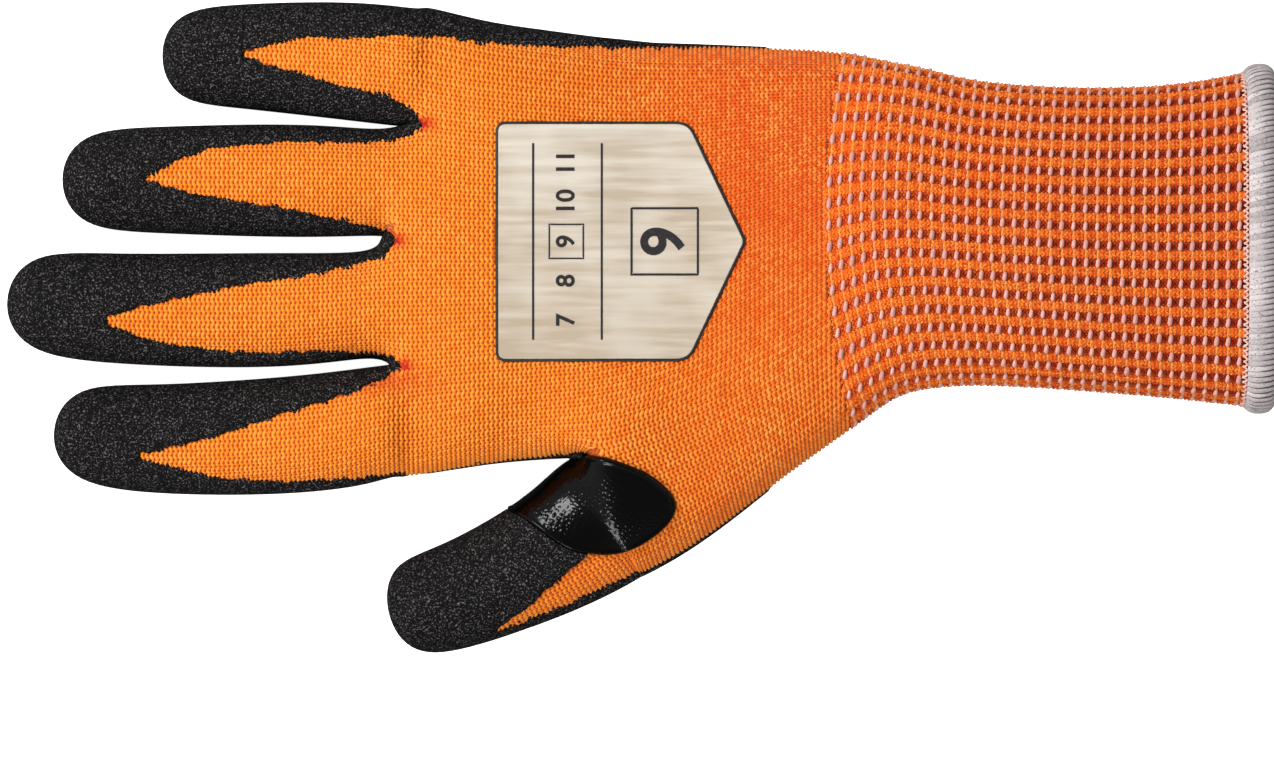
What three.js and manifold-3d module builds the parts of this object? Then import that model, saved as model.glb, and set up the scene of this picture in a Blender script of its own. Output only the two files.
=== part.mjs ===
// A right-hand work glove, lying palm down: a hollow seamless-knit hand with five fingers, a ribbed
// elastic cuff, an overlocked hem, a foam coating dipped over the palm and fingertips, a smooth
// patch in the thumb crotch and a transfer label on the back.
// Millimetres. X runs from the fingertips to the cuff, Y from the thumb to the little finger, Z up.
import * as THREE from "three";
import { mergeVertices } from "three/addons/utils/BufferGeometryUtils.js";
import Module from "manifold-3d";

const wasm = await Module();
wasm.setup();

// Hand
const PALM_LENGTH = 98; // wrist line to finger crotches
const PALM_WIDTH = 101; // across the four finger roots
const PALM_THICKNESS = 25;
const WALL = 1.3; // knitted fabric
const CROTCH_WALL = 3.2; // the fabric is doubled where two fingers part
const WEB_INSET = 2.4; // how far a crotch's fabric runs on past the fold above and below it

// Cuff and hem
const CUFF_LENGTH = 92;
const CUFF_WIDTH = 67;
const CUFF_THICKNESS = 27;
const CUFF_WALL = 1.5;
const RIB_COUNT = 40;
const RIB_DEPTH = 0.9;
const HEM_WIDTH = 6.6; // along the glove
const HEM_THICKNESS = 5.2; // through the roll, cuff fabric included
const HEM_LAP = 3.4; // how much cuff the hem swallows

// What lies on the knit
const GAP = 0.3; // between any two pieces
const COAT = 0.8;
const COAT_LENGTH = 83; // from the finger crotches to the dip line near the wrist
const PATCH = 0.9;
const PATCH_LENGTH = 38;
const PATCH_WIDTH = 21;
const LABEL = 0.5;
const LABEL_LENGTH = 55;
const LABEL_WIDTH = 52.5;
const LABEL_POINT = 12.5; // depth of the label's pointed end
const LABEL_CORNER = 2.4; // corner radius
const LABEL_TO_CROTCH = 22.5; // finger crotches to the label's square end
const STACK = GAP + COAT; // how far the coating stands off the knit
const PRESSED = 0.35; // how much the glove flattens where it rests
const REST = STACK - PRESSED; // the lowest knit above the floor

// Each finger: its sizes, its splay towards the little finger in degrees, its sideways sway, and how
// much it flares at the root and tapers at the tip, in shares of its width. crotch is the share of
// the palm's width at the crotch on its little-finger side, and web is how far that crotch lies past
// the palm's nominal length, in shares of it.
const FINGERS = [
  { name: "index", length: 76.3, width: 23.2, thickness: 16.4, splay: -1.9, sway: -2.9,
    flare: 0.04, taper: 0.08, crotch: 0.236, web: 0 },
  { name: "middle", length: 84, width: 22.6, thickness: 16.8, splay: 0.5, sway: -2,
    flare: 0, taper: 0, crotch: 0.507, web: 0.018 },
  { name: "ring", length: 74, width: 22.4, thickness: 16.2, splay: 0.6, sway: 0.3,
    flare: 0, taper: 0.05, crotch: 0.759, web: -0.045 },
  { name: "little", length: 57, width: 22.9, thickness: 15.6, splay: 3, sway: 1.2,
    flare: 0, taper: 0.15, crotch: 1, web: -0.06 },
];
const THUMB = { length: 53.5, width: 22.2, thickness: 17.4, splay: -24.4, sway: -3.2,
  flare: 0.22, taper: 0.04 };

// Rows of the hand from the wrist line to the thumb's crotch. thumbX, thumbY, littleX and littleY
// place the two side edges, in shares of the palm's length towards the fingers and of its width from
// the middle. bow and kink are shares of the length too: bow moves a row's middle, and kink moves the
// fold where the thumb leaves. thick and lift are shares of the palm's thickness.
const WRIST_ROWS = [
  { thumbX: -0.026, thumbY: -0.403, littleX: -0.004, littleY: 0.41, bow: 0.05, kink: 0, thick: 1.06, lift: 0.07 },
  { thumbX: 0.13, thumbY: -0.513, littleX: 0.13, littleY: 0.42, bow: 0.02, kink: 0.017, thick: 1.05, lift: 0.04 },
  { thumbX: 0.307, thumbY: -0.642, littleX: 0.33, littleY: 0.426, bow: 0, kink: 0.055, thick: 1.02, lift: 0.01 },
  { thumbX: 0.44, thumbY: -0.716, littleX: 0.5, littleY: 0.434, bow: 0, kink: 0.085, thick: 1.0, lift: 0.02 },
];
const THUMB_CROTCH = { x: 0.575, y: -0.462 };
const THUMB_SHARE = 0.235; // of a wrist row's width

// Rows of the palm from the thumb's crotch to the finger crotches, with valley the depth of the
// furrow between two fingers as a share of the thickness.
const PALM_ROWS = [
  { thumbX: 0.7, thumbY: -0.468, littleX: 0.66, littleY: 0.453, thick: 0.96, lift: 0.05, valley: 0.01 },
  { thumbX: 0.84, thumbY: -0.486, littleX: 0.8, littleY: 0.474, thick: 0.9, lift: 0.1, valley: 0.05 },
  { thumbX: 0.965, thumbY: -0.506, littleX: 0.915, littleY: 0.5, thick: 0.76, lift: 0.17, valley: 0.2 },
];

// Rings of a finger: along is a share of its length, width and height of its width and thickness.
const FINGER_RINGS = [
  { along: 0.06, width: 0.96, height: 1.05 },
  { along: 0.3, width: 1.01, height: 1.02 },
  { along: 0.7, width: 0.98, height: 0.97 },
  { along: 0.93, width: 0.78, height: 0.76 },
];

// Rows of the cuff: along is a share of its length, width and thick of its width and thickness, and
// centre moves a row towards the little finger, in shares of the width.
const CUFF_ROWS = [
  { along: 0.1, width: 1.085, thick: 1.01, centre: 0.044 },
  { along: 0.21, width: 1.015, thick: 0.98, centre: 0.046 },
  { along: 0.37, width: 0.965, thick: 0.97, centre: 0.026 },
  { along: 0.72, width: 0.985, thick: 1, centre: 0.004 },
  { along: 1, width: 1.08, thick: 1.04, centre: 0.012 },
];

// The bare tongue on the back of each finger, in shares of the finger's length and width: the edges'
// sideways places on the thumb side and on the little-finger side.
const TONGUES = {
  index: [
    { along: -0.1, thumb: -0.5, little: 0.55 },
    { along: 0.1, thumb: -0.47, little: 0.34 },
    { along: 0.33, thumb: -0.43, little: 0.2 },
    { along: 0.56, thumb: -0.33, little: 0.01 },
    { along: 0.75, thumb: -0.19, little: -0.15 },
  ],
  middle: [
    { along: -0.1, thumb: -0.55, little: 0.5 },
    { along: 0.17, thumb: -0.42, little: 0.33 },
    { along: 0.38, thumb: -0.4, little: 0.24 },
    { along: 0.59, thumb: -0.31, little: 0.08 },
    { along: 0.74, thumb: -0.16, little: -0.1 },
  ],
  ring: [
    { along: -0.1, thumb: -0.55, little: 0.45 },
    { along: 0.12, thumb: -0.41, little: 0.37 },
    { along: 0.35, thumb: -0.27, little: 0.36 },
    { along: 0.58, thumb: -0.16, little: 0.27 },
    { along: 0.75, thumb: -0.02, little: 0.03 },
  ],
  little: [
    { along: -0.1, thumb: -0.5, little: 0.27 },
    { along: 0.13, thumb: -0.3, little: 0.24 },
    { along: 0.29, thumb: -0.26, little: 0.2 },
    { along: 0.48, thumb: -0.16, little: 0.17 },
    { along: 0.69, thumb: -0.02, little: 0.02 },
  ],
  thumb: [
    { along: -0.1, thumb: -0.9, little: 0.1 },
    { along: 0.17, thumb: -0.75, little: -0.18 },
    { along: 0.32, thumb: -0.53, little: -0.25 },
    { along: 0.46, thumb: -0.47, little: -0.34 },
    { along: 0.62, thumb: -0.46, little: -0.43 },
  ],
};

// How far the coating reaches round onto the back along the little-finger side, in shares of the
// palm's width, from the finger crotches (along 1) to where it leaves the outline.
const LITTLE_RIM = [
  { along: 1.02, rim: 0.06 },
  { along: 0.86, rim: 0.062 },
  { along: 0.7, rim: 0.044 },
  { along: 0.5, rim: 0.024 },
  { along: 0.25, rim: 0.008 },
  { along: 0.05, rim: -0.02 },
];
const THUMB_RIM = 0.9; // how far it shows along the index finger's side of the palm

const point = (x, y, z) => new THREE.Vector3(x, y, z);
const mix = (a, b, share) => a.clone().lerp(b, share);
const radians = THREE.MathUtils.degToRad;

// The palm's length runs towards -X from the wrist line at x = 0, and its middle is y = 0.
const palmPlace = (x, y) => point(-x * PALM_LENGTH, y * PALM_WIDTH, 0);

// A mesh of quads under construction: targets are the places that the smooth surface passes through.
const cage = { targets: [], quads: [] };

function addPoint(p) {
  cage.targets.push(p);
  return cage.targets.length - 1;
}

// A ring of the cage holds the ids of its top and bottom columns from the thumb side to the little
// finger's, and of the middle of each side wall.
function joinRings(from, to) {
  const loop = (r) => [r.thumbSide, ...r.top, r.littleSide, ...[...r.bottom].reverse()];
  const a = loop(from);
  const b = loop(to);
  a.forEach((id, i) => {
    const next = (i + 1) % a.length;
    cage.quads.push([id, a[next], b[next], b[i]]);
  });
}

function closeTip(ring, tip) {
  const { thumbSide, top, littleSide, bottom } = ring;
  cage.quads.push([thumbSide, top[0], top[1], tip], [top[1], top[2], littleSide, tip]);
  cage.quads.push([littleSide, bottom[2], bottom[1], tip], [bottom[1], bottom[0], thumbSide, tip]);
}

// Column shares across the palm: each finger's middle and both its edges.
const EDGE_SHARE = 0.036;
function palmColumns() {
  const columns = [EDGE_SHARE];
  let from = 0;
  for (const { crotch } of FINGERS) {
    columns.push((from + crotch) / 2, Math.min(crotch, 1 - EDGE_SHARE));
    from = crotch;
  }
  return columns;
}
const PALM_COLUMNS = palmColumns();
const WRIST_COLUMNS = [
  EDGE_SHARE,
  THUMB_SHARE / 2,
  ...PALM_COLUMNS.map((s, i) => (i ? THUMB_SHARE + (1 - THUMB_SHARE) * s : THUMB_SHARE)),
];

// How high a cross-section stands at a share of its width: full in the middle, round at the sides.
function crown(share, power) {
  return Math.pow(1 - Math.pow(Math.abs(2 * share - 1), power), 1 / power);
}
const BACK_POWER = 2.5;
const FLOOR_POWER = 3.2; // the underside is flatter where the glove rests

// A row across the hand or cuff: side edges a (thumb side) and b (little finger's side), half-height,
// the height of its middle above the floor, and the offset of each column along the hand.
function rowRing({ a, b, half, middle, columns, shift = () => 0, dip = () => 0 }) {
  const at = (share, side, i) => {
    const p = mix(a, b, share);
    const power = side > 0 ? BACK_POWER : FLOOR_POWER;
    return addPoint(point(p.x - shift(share, i), p.y, middle + side * half * (crown(share, power) - dip(i))));
  };
  return {
    thumbSide: addPoint(point(a.x, a.y, middle)),
    littleSide: addPoint(point(b.x, b.y, middle)),
    top: columns.map((share, i) => at(share, 1, i)),
    bottom: columns.map((share, i) => at(share, -1, i)),
  };
}

function wristRing(row) {
  const half = (row.thick * PALM_THICKNESS) / 2;
  return rowRing({
    a: palmPlace(row.thumbX, row.thumbY),
    b: palmPlace(row.littleX, row.littleY),
    half,
    middle: REST + half + row.lift * PALM_THICKNESS,
    columns: WRIST_COLUMNS,
    shift: (share) => {
      const toFold = share < THUMB_SHARE ? share / THUMB_SHARE : (1 - share) / (1 - THUMB_SHARE);
      return (row.bow * 4 * share * (1 - share) + row.kink * toFold) * PALM_LENGTH;
    },
  });
}

const isFurrow = (column) => column > 0 && column < PALM_COLUMNS.length - 1 && column % 2 === 0;

function palmRing(row, last) {
  const half = (row.thick * PALM_THICKNESS) / 2;
  const bend = (column) => {
    if (!last) return 0;
    const finger = FINGERS[Math.floor((column - 1) / 2)];
    const onward = isFurrow(column) ? finger.web * PALM_LENGTH - WEB_INSET : 0;
    const share = PALM_COLUMNS[column];
    const line = row.thumbX + (row.littleX - row.thumbX) * share;
    return isFurrow(column) ? (1 - line) * PALM_LENGTH + onward : 0;
  };
  return rowRing({
    a: palmPlace(row.thumbX, row.thumbY),
    b: palmPlace(row.littleX, row.littleY),
    half,
    middle: REST + half + row.lift * PALM_THICKNESS,
    columns: PALM_COLUMNS,
    shift: (share, column) => bend(column),
    dip: (column) => (isFurrow(column) ? row.valley : 0),
  });
}

// The cuff's middle stands so high that the hem round its mouth rests on the floor.
const HEM_OFFSET = (RIB_DEPTH - CUFF_WALL) / 2; // the roll's middle from the foot of the ribs
const CUFF_MIDDLE = (CUFF_ROWS.at(-1).thick * CUFF_THICKNESS + HEM_THICKNESS) / 2 + HEM_OFFSET - PRESSED;

function cuffRing(row) {
  const half = (row.thick * CUFF_THICKNESS) / 2;
  const place = (side) => point(
    row.along * CUFF_LENGTH + 0.04 * PALM_LENGTH * (1 - row.along) * (side < 0 ? 1 : 0.3),
    (row.centre + (side * row.width) / 2) * CUFF_WIDTH,
    0,
  );
  return rowRing({
    a: place(-1),
    b: place(1),
    half,
    middle: CUFF_MIDDLE,
    columns: WRIST_COLUMNS,
    shift: (share) => WRIST_ROWS[0].bow * PALM_LENGTH * 4 * share * (1 - share) * (1 - row.along),
  });
}

const centreOf = (ids) => ids
  .reduce((sum, id) => sum.add(cage.targets[id]), point(0, 0, 0))
  .divideScalar(ids.length);

// A line along a finger's underside from its root: splayed, swayed sideways, sinking to the floor
// where the pad rests and rising a little at the tip.
const PAD = 0.7; // the pad's place, as a share of the finger's length
const TIP_RISE = 0.2; // of the finger's thickness
function fingerLine(root, { length, thickness, splay, sway }) {
  const turn = (along) => Math.atan((sway * Math.PI * Math.cos(Math.PI * along)) / length);
  const heading = (angle) => point(-Math.cos(angle), Math.sin(angle), 0);
  const sideways = (angle) => point(Math.sin(angle), Math.cos(angle), 0);
  const ahead = heading(radians(splay));
  const aside = sideways(radians(splay));
  const at = (along) => {
    const sunk = Math.min(along / PAD, 1);
    const past = Math.max(0, (along - PAD) / (1 - PAD));
    const p = root.clone().addScaledVector(ahead, along * length);
    p.addScaledVector(aside, sway * Math.sin(Math.PI * Math.max(0, Math.min(along, 1))));
    p.z = THREE.MathUtils.lerp(root.z, REST, sunk * sunk * (3 - 2 * sunk)) + TIP_RISE * thickness * past ** 2;
    return p;
  };
  return { rootSides: [], at, across: (along) => sideways(radians(splay) + turn(along)) };
}

const TIP_HEIGHT = 0.28; // of the finger's thickness, from its underside to the tip's point
const EIGHTH = Math.SQRT1_2;
const BELLY = 1.1; // a finger's underside is a little fuller than round

function addFinger(rootRing, sizes) {
  const sides = [rootRing.thumbSide, rootRing.littleSide];
  const root = centreOf(sides);
  root.z = cage.targets[rootRing.bottom[1]].z;
  const line = fingerLine(root, sizes);
  let ring = rootRing;
  for (const { along, width, height } of FINGER_RINGS) {
    const centre = line.at(along).add(point(0, 0, (height * sizes.thickness) / 2));
    const aside = line.across(along);
    const swell = (1 + sizes.flare * (1 - along) ** 3) * (1 - sizes.taper * along ** 2);
    const halfWidth = (width * swell * sizes.width) / 2;
    const halfHeight = (height * sizes.thickness) / 2;
    const at = (across, up) => addPoint(
      centre.clone().addScaledVector(aside, across * halfWidth).add(point(0, 0, up * halfHeight)),
    );
    const next = {
      thumbSide: at(-1, 0),
      littleSide: at(1, 0),
      top: [at(-EIGHTH, EIGHTH), at(0, 1), at(EIGHTH, EIGHTH)],
      bottom: [at(-EIGHTH * BELLY, -EIGHTH * BELLY), at(0, -1), at(EIGHTH * BELLY, -EIGHTH * BELLY)],
    };
    if (ring === rootRing) line.rootSides = [next.thumbSide, next.littleSide];
    joinRings(ring, next);
    ring = next;
  }
  closeTip(ring, addPoint(line.at(1).add(point(0, 0, TIP_HEIGHT * sizes.thickness))));
  return line;
}

// The part of a ring between two columns, closed by the given side walls.
const sliceRing = (ring, from, to, thumbSide, littleSide) => ({
  thumbSide,
  littleSide,
  top: ring.top.slice(from, to + 1),
  bottom: ring.bottom.slice(from, to + 1),
});

function buildCage() {
  const cuffRings = [...CUFF_ROWS].reverse().map(cuffRing);
  const wristRings = WRIST_ROWS.map(wristRing);
  [...cuffRings, wristRings[0]].reduce((from, to) => (joinRings(from, to), to));
  const handStart = cage.quads.length;
  wristRings.reduce((from, to) => (joinRings(from, to), to));

  const split = wristRings.at(-1);
  const last = split.top.length - 1;
  const crotch = palmPlace(THUMB_CROTCH.x, THUMB_CROTCH.y);
  crotch.z = cage.targets[split.thumbSide].z;
  const thumbWeb = addPoint(crotch);
  const crotches = new Set([thumbWeb, split.top[2], split.bottom[2]]);
  const lines = {};
  lines.thumb = addFinger(sliceRing(split, 0, 2, split.thumbSide, thumbWeb), THUMB);

  let palm = sliceRing(split, 2, last, thumbWeb, split.littleSide);
  PALM_ROWS.forEach((row, i) => {
    const next = palmRing(row, i === PALM_ROWS.length - 1);
    joinRings(palm, next);
    palm = next;
  });

  let side = palm.thumbSide;
  FINGERS.forEach((finger, i) => {
    const isLast = i === FINGERS.length - 1;
    const fold = cage.targets[palm.top[2 * i + 2]];
    const web = isLast
      ? palm.littleSide
      : addPoint(point(fold.x - WEB_INSET, fold.y, cage.targets[palm.thumbSide].z));
    lines[finger.name] = addFinger(sliceRing(palm, 2 * i, 2 * i + 2, side, web), finger);
    if (!isLast) [web, palm.top[2 * i + 2], palm.bottom[2 * i + 2]].forEach((id) => crotches.add(id));
    side = web;
  });
  for (const { rootSides } of Object.values(lines)) rootSides.forEach((id) => crotches.add(id));
  return { lines, crotches, handStart, rowLength: split.top.length * 2 + 2, cuffRings, wristRings };
}
const hand = buildCage();

// One round of Catmull-Clark. The first vertices of the result are the old ones, moved.
function neighbourhood(quads, count) {
  const faces = Array.from({ length: count }, () => []);
  const edges = new Map();
  quads.forEach((quad, f) => quad.forEach((id, i) => {
    faces[id].push(f);
    const next = quad[(i + 1) % 4];
    const key = Math.min(id, next) * count + Math.max(id, next);
    if (!edges.has(key)) edges.set(key, { ends: [id, next], faces: [] });
    edges.get(key).faces.push(f);
  }));
  const around = Array.from({ length: count }, () => []);
  for (const edge of edges.values()) edge.ends.forEach((id) => around[id].push(edge));
  return { faces, edges, around };
}

const average = (points) => points
  .reduce((sum, p) => sum.add(p), point(0, 0, 0))
  .divideScalar(points.length);
const otherEnd = (edge, id) => edge.ends[edge.ends[0] === id ? 1 : 0];
const rimEdges = (edges) => edges.filter((edge) => edge.faces.length === 1);

function subdivide({ points, quads }) {
  const { faces, edges, around } = neighbourhood(quads, points.length);
  const centres = quads.map((quad) => average(quad.map((id) => points[id])));
  const moved = points.map((p, id) => {
    const rim = rimEdges(around[id]);
    if (rim.length) {
      const [before, after] = rim.map((edge) => points[otherEnd(edge, id)]);
      return p.clone().multiplyScalar(6).add(before).add(after).divideScalar(8);
    }
    const n = faces[id].length;
    const face = average(faces[id].map((f) => centres[f]));
    const edge = average(around[id].map((e) => average(e.ends.map((end) => points[end]))));
    return p.clone().multiplyScalar(n - 3).addScaledVector(edge, 2).add(face).divideScalar(n);
  });
  const fine = [...moved, ...centres];
  const middles = new Map();
  for (const [key, edge] of edges) {
    const ends = edge.ends.map((id) => points[id]);
    middles.set(key, fine.length);
    fine.push(average(edge.faces.length === 1 ? ends : [...ends, ...edge.faces.map((f) => centres[f])]));
  }
  const middle = (a, b) => middles.get(Math.min(a, b) * points.length + Math.max(a, b));
  const fineQuads = quads.flatMap((quad, f) => quad.map((id, i) => [
    id,
    middle(id, quad[(i + 1) % 4]),
    points.length + f,
    middle(id, quad[(i + 3) % 4]),
  ]));
  return { points: fine, quads: fineQuads };
}

// Where the vertices end up on the smooth surface.
function limitPoints({ points, quads }) {
  const { faces, around } = neighbourhood(quads, points.length);
  return points.map((p, id) => {
    const rim = rimEdges(around[id]);
    if (rim.length) {
      const [before, after] = rim.map((edge) => points[otherEnd(edge, id)]);
      return p.clone().multiplyScalar(4).add(before).add(after).divideScalar(6);
    }
    const n = faces[id].length;
    const sum = p.clone().multiplyScalar(n * n);
    around[id].forEach((edge) => sum.addScaledVector(points[otherEnd(edge, id)], 4));
    faces[id].forEach((f) => sum.add(points[quads[f][(quads[f].indexOf(id) + 2) % 4]]));
    return sum.divideScalar(n * (n + 5));
  });
}

// Moves the control points until the smooth surface passes through the targets.
const FIT_ROUNDS = 12;
function fitToTargets({ targets, quads }) {
  let points = targets.map((p) => p.clone());
  for (let round = 0; round < FIT_ROUNDS; round += 1) {
    const reached = limitPoints({ points, quads });
    points = points.map((p, i) => p.clone().add(targets[i]).sub(reached[i]));
  }
  return { points, quads };
}
const control = fitToTargets(cage);

function vertexNormals({ points, quads }) {
  const normals = points.map(() => point(0, 0, 0));
  for (const quad of quads) {
    const [a, b, c, d] = quad.map((id) => points[id]);
    const normal = c.clone().sub(a).cross(d.clone().sub(b));
    quad.forEach((id) => normals[id].add(normal));
  }
  return normals.map((n) => n.normalize());
}

// The smooth surface sampled at a mesh's vertices. The hand's quads leave the cuff out, and the
// through quads run on by one row of it, so that what is hollowed with them stays open.
function skinOf(mesh, quadsPerQuad) {
  const points = limitPoints(mesh);
  const from = (quad) => mesh.quads.slice(quad * quadsPerQuad);
  return {
    points,
    normals: vertexNormals({ points, quads: mesh.quads }),
    hand: from(hand.handStart),
    through: from(hand.handStart - hand.rowLength),
  };
}
const coarse = skinOf(control, 1);
const fine = skinOf(subdivide(control), 4);

// A closed solid from some of a skin's quads, moved out along its normals by offset, a function of
// the vertex, with the open end closed by a fan to its middle.
function solidOf({ points: places, normals }, quads, offset) {
  const triangles = quads.flatMap(([a, b, c, d]) => [[a, b, c], [a, c, d]]);
  const points = places.map((p, i) => p.clone().addScaledVector(normals[i], offset(i)));
  const edges = new Map();
  for (const quad of quads)
    quad.forEach((id, i) => edges.set(`${id},${quad[(i + 1) % 4]}`, [id, quad[(i + 1) % 4]]));
  const rim = [...edges.values()].filter(([a, b]) => !edges.has(`${b},${a}`));
  const middle = points.length;
  points.push(average(rim.map(([a]) => points[a])));
  rim.forEach(([a, b]) => triangles.push([b, a, middle]));
  return toManifold(points, triangles);
}

function toManifold(points, triangles) {
  const geometry = new THREE.BufferGeometry();
  const corners = triangles.flatMap((t) => t.flatMap((id) => points[id].toArray()));
  geometry.setAttribute("position", new THREE.Float32BufferAttribute(corners, 3));
  return manifoldOf(geometry);
}

function manifoldOf(geometry) {
  const bare = geometry.index ? geometry.toNonIndexed() : geometry.clone();
  bare.deleteAttribute("normal");
  bare.deleteAttribute("uv");
  const merged = mergeVertices(bare, 1e-4);
  return new wasm.Manifold(new wasm.Mesh({
    numProp: 3,
    vertProperties: new Float32Array(merged.attributes.position.array),
    triVerts: new Uint32Array(merged.index.array),
  }));
}

// An upright prism over an outline of [x, y] pairs.
function prism(outline, low, high) {
  const shape = new THREE.Shape(outline.map(([x, y]) => new THREE.Vector2(x, y)));
  const geometry = new THREE.ExtrudeGeometry(shape, { depth: high - low, bevelEnabled: false });
  return manifoldOf(geometry.translate(0, 0, low));
}

const REACH = 60; // more than the glove's height
const SIDE_HEIGHT = REST + PALM_THICKNESS / 2; // where the coating's edge runs round the sides

// The skin between two distances from the knit, over the whole hand.
const layer = (from, to) => solidOf(fine, fine.hand, () => to)
  .subtract(solidOf(fine, fine.through, () => from));

// The lining needs no more than the coarse mesh.
const knitHand = solidOf(fine, fine.hand, () => 0).subtract(
  solidOf(coarse, coarse.through, (id) => -(hand.crotches.has(id) ? CROTCH_WALL : WALL)),
);

// Coating
function tongue(line, sizes, rows) {
  const at = (row, side) => {
    const p = line.at(row.along).addScaledVector(line.across(row.along), row[side] * sizes.width);
    return [p.x, p.y];
  };
  const outline = [...rows.map((row) => at(row, "thumb")), ...[...rows].reverse().map((row) => at(row, "little"))];
  return prism(outline, SIDE_HEIGHT, REACH);
}

const OUTSIDE = 4 * PALM_LENGTH;
const belowFloor = prism(
  [[-OUTSIDE, -OUTSIDE], [OUTSIDE, -OUTSIDE], [OUTSIDE, OUTSIDE], [-OUTSIDE, OUTSIDE]],
  -REACH,
  0,
);

// A place on the palm's outline, by interpolation between the rows' edges.
const EDGE_ROWS = [...WRIST_ROWS, ...PALM_ROWS];
function edgePlace(side, along) {
  const rows = EDGE_ROWS.map((row) => ({ x: row[`${side}X`], y: row[`${side}Y`] }));
  const next = Math.max(1, rows.findIndex((row) => row.x >= along));
  const [before, after] = next > 0 && next < rows.length ? [rows[next - 1], rows[next]] : rows.slice(-2);
  return before.y + ((after.y - before.y) * (along - before.x)) / (after.x - before.x);
}

function backOfHand() {
  const little = LITTLE_RIM.map(({ along, rim }) => {
    const p = palmPlace(along, edgePlace("little", along) - rim);
    return [p.x, p.y + STACK];
  });
  const index = [...PALM_ROWS].reverse().map((row) => {
    const p = palmPlace(row.thumbX, row.thumbY);
    return [p.x, p.y + THUMB_RIM - STACK];
  });
  const crotch = palmPlace(THUMB_CROTCH.x, THUMB_CROTCH.y);
  const heel = palmPlace(WRIST_ROWS[0].thumbX, WRIST_ROWS.at(-1).thumbY);
  return prism([
    ...index.map(([x, y]) => [x, y]),
    [crotch.x, crotch.y + THUMB_RIM],
    [crotch.x + PATCH_WIDTH / 2, crotch.y - PATCH_WIDTH],
    [heel.x, heel.y],
    [heel.x, PALM_WIDTH / 2],
    ...[...little].reverse(),
  ], SIDE_HEIGHT, REACH);
}

// The patch's outline seen from above: an ellipse that starts at the thumb's crotch.
const PATCH_SIDES = 20;
const PATCH_FLOOR = SIDE_HEIGHT - 6; // how far down it wraps round the crotch
function patchPrism(grow) {
  const crotch = palmPlace(THUMB_CROTCH.x, THUMB_CROTCH.y);
  const centre = [crotch.x + 0.06 * PATCH_LENGTH, crotch.y - 0.48 * PATCH_WIDTH];
  const outline = new THREE.EllipseCurve(...centre, PATCH_LENGTH / 2 + grow, PATCH_WIDTH / 2 + grow)
    .getPoints(PATCH_SIDES)
    .slice(0, -1);
  return prism(outline.map((p) => [p.x, p.y]), PATCH_FLOOR, REACH);
}

function palmCoating() {
  const lines = hand.lines;
  const dipLine = -PALM_LENGTH + COAT_LENGTH;
  const beyond = [
    [dipLine, -2 * PALM_WIDTH],
    [REACH + CUFF_LENGTH, -2 * PALM_WIDTH],
    [REACH + CUFF_LENGTH, 2 * PALM_WIDTH],
    [dipLine, 2 * PALM_WIDTH],
  ];
  let coat = layer(GAP, STACK).subtract(prism(beyond, -REACH, REACH)).subtract(backOfHand());
  for (const sizes of [...FINGERS, { ...THUMB, name: "thumb" }])
    coat = coat.subtract(tongue(lines[sizes.name], sizes, TONGUES[sizes.name]));
  return coat.subtract(patchPrism(GAP)).subtract(belowFloor);
}

const crotchPatch = () => layer(GAP, GAP + PATCH).intersect(patchPrism(0));

// Label: a square end towards the fingers and a blunt point towards the wrist, with round corners.
function roundedOutline(corners, radius) {
  const path = new THREE.Path();
  corners.forEach((corner, i) => {
    const before = corners[(i + corners.length - 1) % corners.length];
    const after = corners[(i + 1) % corners.length];
    const enter = corner.clone().add(before.clone().sub(corner).setLength(radius));
    const leave = corner.clone().add(after.clone().sub(corner).setLength(radius));
    if (i) path.lineTo(enter.x, enter.y);
    else path.moveTo(enter.x, enter.y);
    path.quadraticCurveTo(corner.x, corner.y, leave.x, leave.y);
  });
  const points = path.getPoints(4);
  return points.map((p) => [p.x, p.y]);
}

function backLabel() {
  const fingerEnd = -PALM_LENGTH + LABEL_TO_CROTCH;
  const shoulder = fingerEnd + LABEL_LENGTH - LABEL_POINT;
  const half = LABEL_WIDTH / 2;
  const corners = [
    [fingerEnd, -half],
    [shoulder, -half],
    [fingerEnd + LABEL_LENGTH, 0],
    [shoulder, half],
    [fingerEnd, half],
  ].map(([x, y]) => new THREE.Vector2(x, y));
  return layer(GAP, GAP + LABEL).intersect(prism(roundedOutline(corners, LABEL_CORNER), SIDE_HEIGHT, REACH));
}

// Cuff: rings taken from the smooth surface, with even ribs round each.
const RING_COLUMNS = hand.rowLength;
const loopOf = (ring) => [ring.thumbSide, ...ring.top, ring.littleSide, ...[...ring.bottom].reverse()];
const cuffGrid = [hand.wristRings[1], hand.wristRings[0], ...[...hand.cuffRings].reverse()]
  .map((ring) => loopOf(ring).map((id) => control.points[id]));

const splineWeights = (t) => [
  (1 - t) ** 3 / 6,
  (3 * t ** 3 - 6 * t ** 2 + 4) / 6,
  (-3 * t ** 3 + 3 * t ** 2 + 3 * t + 1) / 6,
  t ** 3 / 6,
];

// A point of the cuff's smooth surface: row 0 is the wrist line and column counts round the ring.
function cuffPoint(row, column) {
  const rows = cuffGrid.length - 1;
  const r = Math.min(Math.floor(row), rows - 2);
  const c = Math.floor(column);
  const sum = point(0, 0, 0);
  splineWeights(row - r).forEach((rowWeight, i) => {
    const control = (k) => {
      const wrapped = ((k % RING_COLUMNS) + RING_COLUMNS) % RING_COLUMNS;
      const at = r + i;
      if (at <= rows) return cuffGrid[at][wrapped];
      return cuffGrid[rows][wrapped].clone().multiplyScalar(2).sub(cuffGrid[rows - 1][wrapped]);
    };
    splineWeights(column - c).forEach((columnWeight, j) => {
      sum.addScaledVector(control(c + j - 1), rowWeight * columnWeight);
    });
  });
  return sum;
}

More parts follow.
